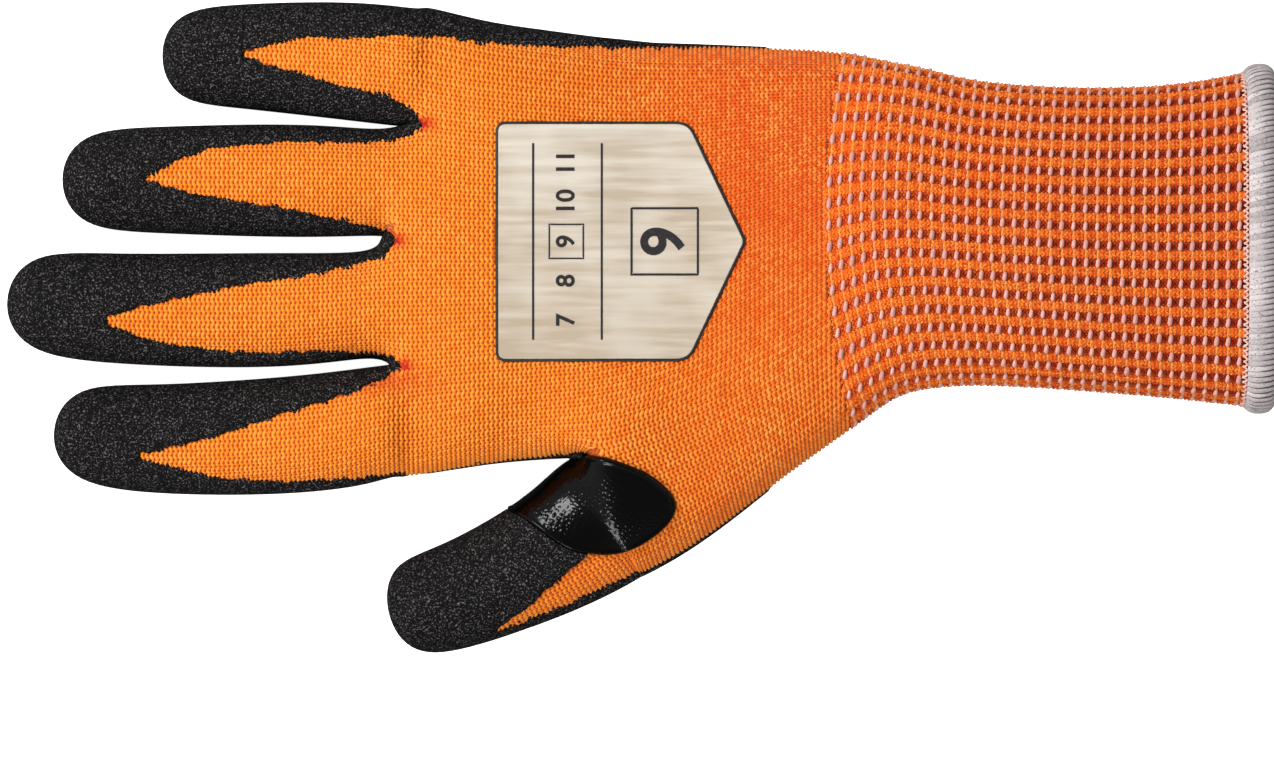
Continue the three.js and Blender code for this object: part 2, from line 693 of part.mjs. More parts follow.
// Evenly spaced points round one ring of the cuff, with their outward directions.
const RING_SAMPLES = 240;
function evenRing(row, count) {
  const samples = [];
  for (let i = 0; i <= RING_SAMPLES; i += 1) samples.push(cuffPoint(row, (i * RING_COLUMNS) / RING_SAMPLES));
  const curve = new THREE.CatmullRomCurve3(samples.slice(0, -1), true);
  curve.arcLengthDivisions = RING_SAMPLES * 2;
  return Array.from({ length: count }, (_, i) => {
    const p = curve.getPointAt(i / count);
    const tangent = curve.getTangentAt(i / count);
    return { p, out: point(0, -tangent.z, tangent.y).normalize() };
  });
}

const CUFF_ROW_COUNT = CUFF_ROWS.length;

// A closed tube from rings of points, ended by fans.
function tubeOf(rings) {
  const points = rings.flat();
  const count = rings[0].length;
  const triangles = [];
  for (let r = 0; r + 1 < rings.length; r += 1)
    for (let i = 0; i < count; i += 1) {
      const j = (i + 1) % count;
      const [a, b, c, d] = [r * count + i, r * count + j, (r + 1) * count + j, (r + 1) * count + i];
      triangles.push([a, c, b], [a, d, c]);
    }
  for (const [ring, flip] of [[0, false], [rings.length - 1, true]]) {
    const middle = points.length;
    points.push(average(rings[ring]));
    for (let i = 0; i < count; i += 1) {
      const pair = [ring * count + i, ring * count + ((i + 1) % count)];
      triangles.push([...(flip ? pair.reverse() : pair), middle]);
    }
  }
  return toManifold(points, triangles);
}

const POINTS_PER_RIB = 2; // its crest and the valley beside it

// The ribs flatten where the cuff stretches over the heel of the hand.
const ribDepth = (row) => RIB_DEPTH * Math.min(1, 0.35 + (0.65 * row) / (CUFF_ROW_COUNT / 2));

function cuffTube(from, to, offset, ribbed) {
  const rows = [from];
  for (let row = Math.floor(from) + 1; row < to; row += 1) rows.push(row);
  rows.push(to);
  const count = ribbed ? RIB_COUNT * POINTS_PER_RIB : RIB_COUNT;
  return tubeOf(rows.map((row) => evenRing(row, count).map(({ p, out }, i) => {
    const isCrest = ribbed && i % POINTS_PER_RIB === 0;
    return p.clone().addScaledVector(out, offset + (isCrest ? ribDepth(row) : 0));
  })));
}

// The gap as a share of the cuff's first row and of its last.
const WRIST_GAP = GAP / (CUFF_ROWS[0].along * CUFF_LENGTH);
const MOUTH_GAP = GAP / ((CUFF_ROWS.at(-1).along - CUFF_ROWS.at(-2).along) * CUFF_LENGTH);

const ribbedCuff = cuffTube(WRIST_GAP, CUFF_ROW_COUNT, 0, true)
  .subtract(cuffTube(0, CUFF_ROW_COUNT + MOUTH_GAP, -CUFF_WALL, false));

// Hem: a fat roll round the mouth with a slot that the cuff's edge lies in. along runs from the lip
// over the cuff to the roll's far side in shares of its width, and out is in shares of half its
// thickness; the slot's own points have their out from the cuff's thickness.
const SLOT_OUT = (RIB_DEPTH + CUFF_WALL + 2 * GAP) / HEM_THICKNESS;
const SLOT_END = (HEM_LAP + GAP) / HEM_WIDTH;
const HEM_PROFILE = [
  { along: 0, out: SLOT_OUT },
  { along: 0.2, out: 0.92 },
  { along: 0.5, out: 1 },
  { along: 0.84, out: 0.72 },
  { along: 1, out: 0 },
  { along: 0.84, out: -0.72 },
  { along: 0.5, out: -1 },
  { along: 0.2, out: -0.92 },
  { along: 0, out: -SLOT_OUT },
  { along: SLOT_END, out: -SLOT_OUT },
  { along: SLOT_END, out: SLOT_OUT },
];

function cuffHem() {
  const lip = evenRing(CUFF_ROW_COUNT - (HEM_LAP * MOUTH_GAP) / GAP, RIB_COUNT);
  const mouth = evenRing(CUFF_ROW_COUNT, RIB_COUNT);
  const sides = HEM_PROFILE.length;
  const points = mouth.flatMap(({ p, out }, i) => HEM_PROFILE.map((place) => lip[i].p
    .clone()
    .lerp(p, (place.along * HEM_WIDTH) / HEM_LAP)
    .addScaledVector(out, HEM_OFFSET + (place.out * HEM_THICKNESS) / 2)));
  const triangles = [];
  for (let i = 0; i < RIB_COUNT; i += 1)
    for (let k = 0; k < sides; k += 1) {
      const [i2, k2] = [(i + 1) % RIB_COUNT, (k + 1) % sides];
      const [a, b, c, d] = [i * sides + k, i * sides + k2, i2 * sides + k2, i2 * sides + k];
      triangles.push([a, b, c], [a, c, d]);
    }
  return toManifold(points, triangles).subtract(belowFloor);
}

function meshOf(name, solid, material) {
  const { vertProperties, triVerts } = solid.getMesh();
  const geometry = new THREE.BufferGeometry();
  geometry.setAttribute("position", new THREE.BufferAttribute(vertProperties, 3));
  geometry.setIndex(new THREE.BufferAttribute(triVerts, 1));
  geometry.computeVertexNormals();
  const mesh = new THREE.Mesh(geometry, material);
  mesh.name = name;
  return mesh;
}

const orangeKnit = new THREE.MeshStandardMaterial({ color: "#ff8416", roughness: 0.85, metalness: 0 });
const orangeRib = new THREE.MeshStandardMaterial({ color: "#f8741a", roughness: 0.85, metalness: 0 });
const greyOverlock = new THREE.MeshStandardMaterial({ color: "#cfc6c6", roughness: 0.8, metalness: 0 });
const foamNitrile = new THREE.MeshStandardMaterial({ color: "#242224", roughness: 0.92, metalness: 0 });
const smoothNitrile = new THREE.MeshStandardMaterial({ color: "#0c0a0a", roughness: 0.25, metalness: 0 });
const transferFilm = new THREE.MeshStandardMaterial({ color: "#d6c9b6", roughness: 0.6, metalness: 0 });

const glove = new THREE.Group();
glove.add(
  meshOf("knit_hand", knitHand, orangeKnit),
  meshOf("palm_coating", palmCoating(), foamNitrile),
  meshOf("thumb_crotch_patch", crotchPatch(), smoothNitrile),
  meshOf("back_label", backLabel(), transferFilm),
  meshOf("ribbed_cuff", ribbedCuff, orangeRib),
  meshOf("cuff_hem", cuffHem(), greyOverlock),
);

// The origin is under the glove's middle, on the floor.
const bounds = new THREE.Box3().setFromObject(glove);
const middle = bounds.getCenter(point(0, 0, 0));
glove.position.set(-middle.x, -middle.y, -bounds.min.z);

export default glove;
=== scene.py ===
"""A right-hand work glove, lying palm down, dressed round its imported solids.

Orange knit with real stitches, black foam dip, smooth patch, transfer label, ribbed elastic cuff
and overlocked hem. Tables and shapes are in millimetres, and become metres as a mesh is made.
"""

import math
from collections import namedtuple

import bpy
import numpy as np
from bpy.props import FloatProperty, FloatVectorProperty, IntProperty, PointerProperty
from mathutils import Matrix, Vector
from mathutils.bvhtree import BVHTree


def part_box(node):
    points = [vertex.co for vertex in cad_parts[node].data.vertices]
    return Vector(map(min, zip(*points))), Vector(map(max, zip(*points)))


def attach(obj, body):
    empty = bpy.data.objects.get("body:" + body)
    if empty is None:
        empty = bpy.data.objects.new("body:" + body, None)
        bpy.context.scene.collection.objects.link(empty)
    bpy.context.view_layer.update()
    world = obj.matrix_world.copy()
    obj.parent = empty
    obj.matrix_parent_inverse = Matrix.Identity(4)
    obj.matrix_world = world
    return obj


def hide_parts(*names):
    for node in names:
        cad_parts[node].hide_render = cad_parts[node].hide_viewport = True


bl_info = {
    "name": "Knitted work glove",
    "version": (1, 0, 0),
    "blender": (4, 5, 0),
    "location": "View3D > Sidebar > Glove",
    "description": "Dresses the packed glove in knit, foam, film and thread",
    "category": "Object",
}

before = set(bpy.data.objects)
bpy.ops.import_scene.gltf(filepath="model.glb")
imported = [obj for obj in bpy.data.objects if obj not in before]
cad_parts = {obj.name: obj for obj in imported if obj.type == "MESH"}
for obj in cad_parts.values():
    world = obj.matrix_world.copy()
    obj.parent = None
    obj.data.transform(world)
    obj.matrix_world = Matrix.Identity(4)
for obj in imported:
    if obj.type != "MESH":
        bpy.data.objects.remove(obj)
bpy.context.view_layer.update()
BODY = "root"
MM = 0.001

# Hand
PALM_LENGTH = 98.0
PALM_WIDTH = 101.0
PALM_THICKNESS = 25.0
WALL = 1.1
WEB_INSET = 2.4
STACK = 1.1
REST = STACK - 0.35
SIDE_HEIGHT = REST + PALM_THICKNESS / 2
BACK_POWER, FLOOR_POWER = 2.5, 3.2
EDGE_SHARE = 0.036
THUMB_SHARE = 0.235
THUMB_CROTCH = (0.575, -0.462)
DIP_LINE = -15.0

Finger = namedtuple("Finger", "length width thickness splay sway flare taper crotch web")
FINGERS = {
    "index": Finger(76.3, 23.2, 16.4, -1.9, -2.9, 0.04, 0.08, 0.236, 0),
    "middle": Finger(84, 22.6, 16.8, 0.5, -2, 0, 0, 0.507, 0.018),
    "ring": Finger(74, 22.4, 16.2, 0.6, 0.3, 0, 0.05, 0.759, -0.045),
    "little": Finger(57, 22.9, 15.6, 3, 1.2, 0.11, 0.15, 1, -0.06),
}
THUMB = Finger(53.5, 22.2, 17.4, -24.4, -3.2, 0.38, 0.04, 0, 0)

WristRow = namedtuple("WristRow", "thumb_x thumb_y little_x little_y bow kink thick lift")
WRIST_ROWS = [
    WristRow(-0.026, -0.403, -0.004, 0.41, 0.05, 0, 1.06, 0.07),
    WristRow(0.13, -0.513, 0.13, 0.42, 0.02, 0.017, 1.05, 0.04),
    WristRow(0.307, -0.642, 0.33, 0.426, 0, 0.055, 1.02, 0.01),
    WristRow(0.44, -0.716, 0.5, 0.434, 0, 0.085, 1.0, 0.02),
]
PalmRow = namedtuple("PalmRow", "thumb_x thumb_y little_x little_y thick lift valley")
PALM_ROWS = [
    PalmRow(0.7, -0.468, 0.66, 0.453, 0.96, 0.05, 0.01),
    PalmRow(0.84, -0.486, 0.8, 0.474, 0.9, 0.1, 0.05),
    PalmRow(0.965, -0.506, 0.915, 0.5, 0.76, 0.17, 0.2),
]
FINGER_RINGS = [(0.06, 0.96, 1.05), (0.3, 1.01, 1.02), (0.7, 0.98, 0.97), (0.93, 0.78, 0.76)]
PAD, TIP_RISE, TIP_HEIGHT, BELLY = 0.7, 0.2, 0.28, 1.1

# Cuff and hem
CUFF_LENGTH, CUFF_WIDTH, CUFF_THICKNESS = 92.0, 67.0, 27.0
CUFF_WALL = 1.5
RIB_COUNT = 40
RIB_DEPTH, GROOVE_DEPTH = 0.9, 0.25
HEM_WIDTH, HEM_THICKNESS, HEM_LAP = 6.6, 5.2, 3.4
HEM_OFFSET = (RIB_DEPTH - CUFF_WALL) / 2
CuffRow = namedtuple("CuffRow", "along width thick centre")
CUFF_ROWS = [
    CuffRow(0.1, 1.085, 1.01, 0.044),
    CuffRow(0.21, 1.015, 0.98, 0.046),
    CuffRow(0.37, 0.965, 0.97, 0.026),
    CuffRow(0.72, 0.985, 1, 0.004),
    CuffRow(1, 1.08, 1.04, 0.012),
]
CUFF_MIDDLE = (CUFF_ROWS[-1].thick * CUFF_THICKNESS + HEM_THICKNESS) / 2 + HEM_OFFSET - 0.35

# The bare tongue on the back of each finger: share of the length, and its two edges in widths
TONGUES = {
    "index": [
        (-0.1, -0.5, 0.55), (0.1, -0.47, 0.34), (0.33, -0.43, 0.2),
        (0.56, -0.33, 0.01), (0.75, -0.19, -0.15),
    ],
    "middle": [
        (-0.1, -0.55, 0.5), (0.17, -0.42, 0.33), (0.38, -0.4, 0.24),
        (0.59, -0.31, 0.08), (0.74, -0.16, -0.1),
    ],
    "ring": [
        (-0.1, -0.55, 0.45), (0.12, -0.41, 0.37), (0.35, -0.27, 0.36),
        (0.58, -0.16, 0.27), (0.75, -0.02, 0.03),
    ],
    "little": [
        (-0.1, -0.5, 0.27), (0.13, -0.3, 0.24), (0.29, -0.26, 0.2),
        (0.48, -0.16, 0.17), (0.69, -0.02, 0.02),
    ],
    "thumb": [
        (-0.1, -0.9, 0.1), (0.17, -0.75, -0.18), (0.32, -0.53, -0.25),
        (0.46, -0.47, -0.34), (0.62, -0.46, -0.43),
    ],
}
LITTLE_RIM = [(1.02, 0.098), (0.86, 0.062), (0.7, 0.044), (0.5, 0.024), (0.25, 0.008), (0.05, -0.02)]
THUMB_RIM = 0.9
THUMB_ROOT_RISE = 1.8
THUMB_SIDE_DROP = 3.6

# Knit: the stitches counted round the hand at its side edges and columns
PALM_WALES = 62.0
THUMB_WALES = 18.0
FINGER_WALE = 1.8
COURSE = 1.04

# A stitch's leg: half its length and half its width in shares of its place, and its lean in courses
LEG_REACH, LEG_WIDTH, LEG_LEAN = 0.58, 0.31, 0.46
LONGEST_WALE, LONGEST_COURSE = 3.2, 1.7


def linear(code):
    """A hex sRGB colour as linear RGBA."""
    parts = [int(code[i : i + 2], 16) / 255 for i in (1, 3, 5)]
    return tuple(c / 12.92 if c <= 0.04045 else ((c + 0.055) / 1.055) ** 2.4 for c in parts) + (1.0,)


def smooth(t):
    t = np.clip(t, 0, 1)
    return t * t * (3 - 2 * t)


def crown(share, power):
    return (1 - abs(2 * share - 1) ** power) ** (1 / power)


def palm_place(x, y):
    return np.array([-x * PALM_LENGTH, y * PALM_WIDTH, 0.0])


# The net of the glove

Ring = namedtuple("Ring", "thumb_side top little_side bottom wales")


class Net:
    """Places that the smooth skin passes through, the quads between them, and the stitch numbers
    (wale, course) at each quad's corners."""

    def __init__(self):
        self.places, self.courses, self.quads, self.counts = [], [], [], []

    def add(self, place, course=None):
        place = np.array(place, float)
        self.places.append(place)
        self.courses.append(-place[0] / COURSE if course is None else course)
        return len(self.places) - 1

    def loop(self, ring):
        ids = [ring.thumb_side, *ring.top, ring.little_side, *reversed(ring.bottom)]
        back = [2 * ring.wales[-1] - w for w in reversed(ring.wales[:-1])]
        return ids, [*ring.wales, *back]

    def face(self, ids, wales):
        self.quads.append(ids)
        self.counts.append([(w, self.courses[i]) for i, w in zip(ids, wales)])

    def join(self, a, b):
        (ids_a, wales_a), (ids_b, wales_b) = self.loop(a), self.loop(b)
        for i, (one, other) in enumerate(zip(ids_a, ids_b)):
            n = (i + 1) % len(ids_a)
            wales = [wales_a[i], wales_a[i + 1], wales_b[i + 1], wales_b[i]]
            self.face([one, ids_a[n], ids_b[n], other], wales)

    def close(self, ring, tip):
        ids, wales = self.loop(ring)
        for k in range(0, 8, 2):
            around = [wales[k], wales[k + 1], wales[k + 2], wales[k + 1]]
            self.face([ids[k], ids[k + 1], ids[(k + 2) % 8], tip], around)


def palm_columns():
    columns, start = [EDGE_SHARE], 0.0
    for finger in FINGERS.values():
        columns += [(start + finger.crotch) / 2, min(finger.crotch, 1 - EDGE_SHARE)]
        start = finger.crotch
    return columns


PALM_COLUMNS = palm_columns()
WRIST_COLUMNS = [EDGE_SHARE, THUMB_SHARE / 2, THUMB_SHARE]
WRIST_COLUMNS += [THUMB_SHARE + (1 - THUMB_SHARE) * s for s in PALM_COLUMNS[1:]]


def across_palm(share):
    """The share of the palm's stitches passed at a share of its width: more of them at the sides."""
    return 0.085 + 0.83 * share if 0 < share < 1 else share


PALM_NUMBERS = [THUMB_WALES + PALM_WALES * across_palm(s) for s in (0, *PALM_COLUMNS, 1)]
PALM_NUMBERS[1] -= 0.8
WRIST_NUMBERS = [4.6, 11.2, 16.8, *PALM_NUMBERS[1:]]


def row_ring(net, a, b, half, middle, columns, wales, shift=lambda s, i: 0, dip=lambda i: 0):
    def at(share, side, i):
        p = a + (b - a) * share
        power = BACK_POWER if side > 0 else FLOOR_POWER
        return net.add((p[0] - shift(share, i), p[1], middle + side * half * (crown(share, power) - dip(i))))

    return Ring(
        net.add((a[0], a[1], middle)),
        [at(s, 1, i) for i, s in enumerate(columns)],
        net.add((b[0], b[1], middle)),
        [at(s, -1, i) for i, s in enumerate(columns)],
        wales,
    )


def wrist_ring(net, row):
    half = row.thick * PALM_THICKNESS / 2

    def shift(share, _):
        to_fold = share / THUMB_SHARE if share < THUMB_SHARE else (1 - share) / (1 - THUMB_SHARE)
        return (row.bow * 4 * share * (1 - share) + row.kink * to_fold) * PALM_LENGTH

    a, b = palm_place(row.thumb_x, row.thumb_y), palm_place(row.little_x, row.little_y)
    middle = REST + half + row.lift * PALM_THICKNESS
    ring = row_ring(net, a, b, half, middle, WRIST_COLUMNS, WRIST_NUMBERS, shift)
    extra = thumb_courses(row)
    net.courses[ring.thumb_side] += extra
    for share, top, bottom in list(zip(WRIST_COLUMNS, ring.top, ring.bottom))[:2]:
        for place in (top, bottom):
            net.courses[place] += extra * (1 - share / THUMB_SHARE)
    return ring


def thumb_courses(row):
    """The courses that fan out along the thumb's side of the hand, up to this row."""
    places = [palm_place(r.thumb_x, r.thumb_y) for r in WRIST_ROWS[: WRIST_ROWS.index(row) + 1]]
    return sum(np.linalg.norm(q - p) - (p - q)[0] for p, q in zip(places, places[1:])) / COURSE


def palm_ring(net, row, last):
    half = row.thick * PALM_THICKNESS / 2
    webs = [finger.web for finger in FINGERS.values()]

    def is_furrow(i):
        return 0 < i < len(PALM_COLUMNS) - 1 and i % 2 == 0

    def shift(share, i):
        if not (last and is_furrow(i)):
            return 0
        line = row.thumb_x + (row.little_x - row.thumb_x) * share
        return (1 - line + webs[(i - 1) // 2]) * PALM_LENGTH - WEB_INSET

    a, b = palm_place(row.thumb_x, row.thumb_y), palm_place(row.little_x, row.little_y)
    middle = REST + half + row.lift * PALM_THICKNESS

    def dip(i):
        return row.valley if is_furrow(i) else 0

    return row_ring(net, a, b, half, middle, PALM_COLUMNS, PALM_NUMBERS, shift, dip)


def cuff_ring(net, row):
    def place(side):
        reach = 0.04 * PALM_LENGTH * (1 - row.along) * (1 if side < 0 else 0.3)
        across = (row.centre + side * row.width / 2) * CUFF_WIDTH
        return np.array([row.along * CUFF_LENGTH + reach, across, 0])

    def shift(share, _):
        return WRIST_ROWS[0].bow * PALM_LENGTH * 4 * share * (1 - share) * (1 - row.along)

    half = row.thick * CUFF_THICKNESS / 2
    return row_ring(net, place(-1), place(1), half, CUFF_MIDDLE, WRIST_COLUMNS, WRIST_NUMBERS, shift)


class FingerLine:
    """The line along a finger's underside, from its root to its tip."""

    def __init__(self, root, finger):
        self.root, self.finger = root, finger
        angle = math.radians(finger.splay)
        self.ahead = np.array([-math.cos(angle), math.sin(angle), 0])
        self.aside = np.array([math.sin(angle), math.cos(angle), 0])

    def at(self, along):
        f = self.finger
        p = self.root + self.ahead * along * f.length
        p = p + self.aside * f.sway * math.sin(math.pi * min(max(along, 0), 1))
        past = max(0, (along - PAD) / (1 - PAD))
        sunk = smooth(along / PAD)
        p[2] = self.root[2] + (REST - self.root[2]) * sunk + TIP_RISE * f.thickness * past**2
        return p

    def across(self, along):
        f = self.finger
        angle = math.radians(f.splay) + math.atan(f.sway * math.pi * math.cos(math.pi * along) / f.length)
        return np.array([math.sin(angle), math.cos(angle), 0])


def add_finger(net, root_ring, finger, outer=(False, False)):
    sides = [net.places[root_ring.thumb_side], net.places[root_ring.little_side]]
    root = np.mean(sides, axis=0)
    root[2] = net.places[root_ring.bottom[1]][2]
    line = FingerLine(root, finger)
    first_course = (net.courses[root_ring.thumb_side] + net.courses[root_ring.little_side]) / 2
    middle_wale = root_ring.wales[2]
    root_spread = [middle_wale - root_ring.wales[0], root_ring.wales[4] - middle_wale]
    ring = root_ring
    up = np.array([0, 0, 1.0])
    eighth = math.sqrt(0.5)
    for along, width, height in FINGER_RINGS:
        centre = line.at(along) + up * height * finger.thickness / 2
        aside = line.across(along)
        swell = (1 + finger.flare * (1 - along) ** 3) * (1 - finger.taper * along**2)
        wide, high = width * swell * finger.width / 2, height * finger.thickness / 2
        quarter = math.pi / 4 * (wide + high) / FINGER_WALE
        course = first_course + along * finger.length / COURSE if finger is THUMB else None
        easing = (1 - along) ** 2
        eased = [quarter + (spread - quarter) * easing for spread in root_spread]
        low, up_to = (spread if keep else quarter for spread, keep in zip(eased, outer))
        at = lambda across, rise: net.add(centre + aside * across * wide + up * rise * high, course)
        following = Ring(
            at(-1, 0),
            [at(-eighth, eighth), at(0, 1), at(eighth, eighth)],
            at(1, 0),
            [at(-eighth * BELLY, -eighth * BELLY), at(0, -1), at(eighth * BELLY, -eighth * BELLY)],
            [middle_wale + step for step in (-low, -low / 2, 0, up_to / 2, up_to)],
        )
        if ring is root_ring:
            ends = [middle_wale - quarter * 1.05, middle_wale + quarter * 1.05]
            ends = [root_ring.wales[k] if keep else end for k, keep, end in zip((0, 4), outer, ends)]
            ring = root_ring._replace(wales=[ends[0], *root_ring.wales[1:4], ends[1]])
        net.join(ring, following)
        ring = following
    course = first_course + finger.length / COURSE if finger is THUMB else None
    net.close(ring, net.add(line.at(1) + up * TIP_HEIGHT * finger.thickness, course))
    return line


def slice_ring(ring, start, end, thumb_side, little_side):
    wales = [ring.wales[start], *ring.wales[start + 1 : end + 2], ring.wales[end + 2]]
    return Ring(thumb_side, ring.top[start : end + 1], little_side, ring.bottom[start : end + 1], wales)


def build_net():
    net = Net()
    cuff_rings = [cuff_ring(net, row) for row in reversed(CUFF_ROWS)]
    wrist_rings = [wrist_ring(net, row) for row in WRIST_ROWS]
    rings = [*cuff_rings, *wrist_rings]
    for one, other in zip(rings, rings[1 : len(cuff_rings) + 1]):
        net.join(one, other)
    hand_start = len(net.quads)
    for one, other in zip(wrist_rings, wrist_rings[1:]):
        net.join(one, other)

    split = wrist_rings[-1]
    crotch = palm_place(*THUMB_CROTCH)
    crotch[2] = net.places[split.thumb_side][2]
    thumb_web = net.add(crotch)
    thumb_ring = slice_ring(split, 0, 2, split.thumb_side, thumb_web)
    lines = {"thumb": add_finger(net, thumb_ring, THUMB, (True, False))}
    palm = slice_ring(split, 2, len(WRIST_COLUMNS) - 1, thumb_web, split.little_side)
    palm = palm._replace(wales=PALM_NUMBERS)
    for i, row in enumerate(PALM_ROWS):
        following = palm_ring(net, row, i == len(PALM_ROWS) - 1)
        net.join(palm, following)
        palm = following

    side = palm.thumb_side
    crotches = [crotch]
    for i, (name, finger) in enumerate(FINGERS.items()):
        fold = net.places[palm.top[2 * i + 2]]
        web = palm.little_side
        if i < len(FINGERS) - 1:
            web = net.add((fold[0] - WEB_INSET, fold[1], net.places[palm.thumb_side][2]))
            crotches.append(net.places[web])
        ring = slice_ring(palm, 2 * i, 2 * i + 2, side, web)
        lines[name] = add_finger(net, ring, finger, (i == 0, i == len(FINGERS) - 1))
        side = web
    return net, lines, crotches, hand_start, [wrist_rings[1], wrist_rings[0], *reversed(cuff_rings)]


# The smooth skin over the net

Mesh = namedtuple("Mesh", "points quads")
Skin = namedtuple("Skin", "points normals quads counts")


def scatter(ids, values, count):
    return np.stack([np.bincount(ids, values[:, k], count) for k in range(values.shape[1])], axis=1)


def edges_of(quads, count):
    ends = np.sort(np.stack([quads, np.roll(quads, -1, axis=1)], axis=2).reshape(-1, 2), axis=1)
    keys, index, uses = np.unique(ends[:, 0] * count + ends[:, 1], return_inverse=True, return_counts=True)
    return np.stack([keys // count, keys % count], axis=1), index.reshape(quads.shape), uses


def on_open_edge(points, edges):
    """The points on open edges, and the middle of each one's neighbours along the edge."""
    ids, index, uses = np.unique(edges, return_inverse=True, return_counts=True)
    beside = scatter(index.ravel(), points[edges[:, ::-1].ravel()], len(ids))
    return ids, beside / uses[:, None]


def subdivide(mesh):
    """One round of Catmull-Clark."""
    points, quads = mesh
    total = len(points)
    edges, edge_ids, uses = edges_of(quads, total)
    centres = points[quads].mean(axis=1)
    middles = points[edges].mean(axis=1)
    beside = scatter(edge_ids.ravel(), np.repeat(centres, 4, axis=0), len(edges))
    edge_points = np.where((uses == 2)[:, None], (2 * middles + beside) / 4, middles)
    n = np.bincount(quads.ravel(), minlength=total)[:, None]
    spokes = np.bincount(edges.ravel(), minlength=total)[:, None]
    faces = scatter(quads.ravel(), np.repeat(centres, 4, axis=0), total) / n
    around = scatter(edges.ravel(), np.repeat(middles, 2, axis=0), total) / spokes
    moved = (points * (n - 3) + 2 * around + faces) / n
    rim, beside = on_open_edge(points, edges[uses == 1])
    moved[rim] = (3 * points[rim] + beside) / 4
    centre_ids = total + np.arange(len(quads))
    corner_ids = total + len(quads) + edge_ids
    before = np.roll(corner_ids, 1, axis=1)
    fine = np.stack([quads, corner_ids, np.repeat(centre_ids[:, None], 4, axis=1), before], axis=2)
    return Mesh(np.concatenate([moved, centres, edge_points]), fine.reshape(-1, 4))


def limit_points(points, quads):
    """Where the points end up on the smooth surface."""
    total = len(points)
    edges, _, uses = edges_of(quads, total)
    n = np.bincount(quads.ravel(), minlength=total)[:, None]
    ends = scatter(edges.ravel(), points[edges[:, ::-1].ravel()], total)
    opposite = scatter(quads.ravel(), points[np.roll(quads, -2, axis=1).ravel()], total)
    reached = (n * n * points + 4 * ends + opposite) / (n * (n + 5))
    rim, beside = on_open_edge(points, edges[uses == 1])
    reached[rim] = (2 * points[rim] + beside) / 3
    return reached


NET, LINES, CROTCHES, HAND_START, CUFF_NET = build_net()
FIT_ROUNDS = 12
SKIN_LEVEL = 3

# Beyond the thumb the courses run straight across, from this place and past this side of the index
STRAIGHT_FROM, INDEX_SIDE = -72.0, -53.5


def fitted(targets, quads):
    """A net whose smooth surface passes through the targets."""
    points = targets.copy()
    for _ in range(FIT_ROUNDS):
        points += targets - limit_points(points, quads)
    return Mesh(points, quads)


def stitch_net():
    """The stitch numbers as a flat net, cut wherever two faces count differently."""
    ids, numbers, rows = {}, [], []
    for quad, corners in zip(NET.quads, NET.counts):
        keys = [(place, round(wale, 3), round(course, 3)) for place, (wale, course) in zip(quad, corners)]
        for key, number in zip(keys, corners):
            if key not in ids:
                ids[key] = len(numbers)
                numbers.append(number)
        rows.append([ids[key] for key in keys])
    return fitted(np.array(numbers, float), np.array(rows))


CONTROL = fitted(np.array(NET.places), np.array(NET.quads))
NUMBERS = stitch_net()


def hand_skin(level):
    """The hand's smooth skin, without the cuff."""
    mesh, numbers = CONTROL, NUMBERS
    for _ in range(level):
        mesh, numbers = subdivide(mesh), subdivide(numbers)
    counts = limit_points(*numbers)[numbers.quads]
    points = limit_points(*mesh)
    corners = points[mesh.quads]
    beyond_thumb = corners[..., 1] > INDEX_SIDE
    straight = smooth((STRAIGHT_FROM - corners[..., 0]) / 8) * beyond_thumb
    counts[..., 1] += (-corners[..., 0] / COURSE - counts[..., 1]) * straight
    facing = np.cross(corners[:, 2] - corners[:, 0], corners[:, 3] - corners[:, 1])
    normals = scatter(mesh.quads.ravel(), np.repeat(facing, 4, axis=0), len(points))
    normals /= np.linalg.norm(normals, axis=1, keepdims=True)
    start = HAND_START * 4**level
    quads = mesh.quads[start:]
    used, index = np.unique(quads, return_inverse=True)
    return Skin(points[used], normals[used], index.reshape(-1, 4), counts[start:])


SKIN = hand_skin(SKIN_LEVEL)
GLOVE_SHIFT = np.array(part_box("knit_hand")[0]) / MM - hand_skin(1).points.min(axis=0)


def to_metres(points):
    """From the glove's own millimetres to the frame's metres, never through the floor."""
    placed = (np.asarray(points) + GLOVE_SHIFT) * MM
    placed[:, 2] = np.maximum(placed[:, 2], 0)
    return placed


# Outlines seen from above


def distance_to(outline, places):
    """Signed distance in the plane to a closed outline, negative inside."""
    xy = places[:, :2]
    best, inside = np.full(len(xy), np.inf), np.zeros(len(xy), bool)
    outline = np.asarray(outline, float)
    for p, q in zip(outline, np.roll(outline, -1, axis=0)):
        d = q - p
        t = np.clip((xy - p) @ d / max(d @ d, 1e-12), 0, 1)
        best = np.minimum(best, np.linalg.norm(xy - p - t[:, None] * d, axis=1))
        crosses = (p[1] > xy[:, 1]) != (q[1] > xy[:, 1])
        step = d[1] if abs(d[1]) > 1e-9 else 1e-9
        inside ^= crosses & (xy[:, 0] < p[0] + (xy[:, 1] - p[1]) * d[0] / step)
    return np.where(inside, -best, best)


def curve_through(rows, steps=6):
    """Catmull-Rom through a short list of rows of numbers."""
    rows = np.asarray(rows, float)
    padded = np.concatenate([[2 * rows[0] - rows[1]], rows, [2 * rows[-1] - rows[-2]]])
    result = []
    for i in range(1, len(padded) - 2):
        a, b, c, d = padded[i - 1 : i + 3]
        for t in np.arange(steps) / steps:
            base = 2 * b + (c - a) * t
            result.append((base + (2 * a - 5 * b + 4 * c - d) * t**2 + (3 * b - a - 3 * c + d) * t**3) / 2)
    return np.array([*result, rows[-1]])


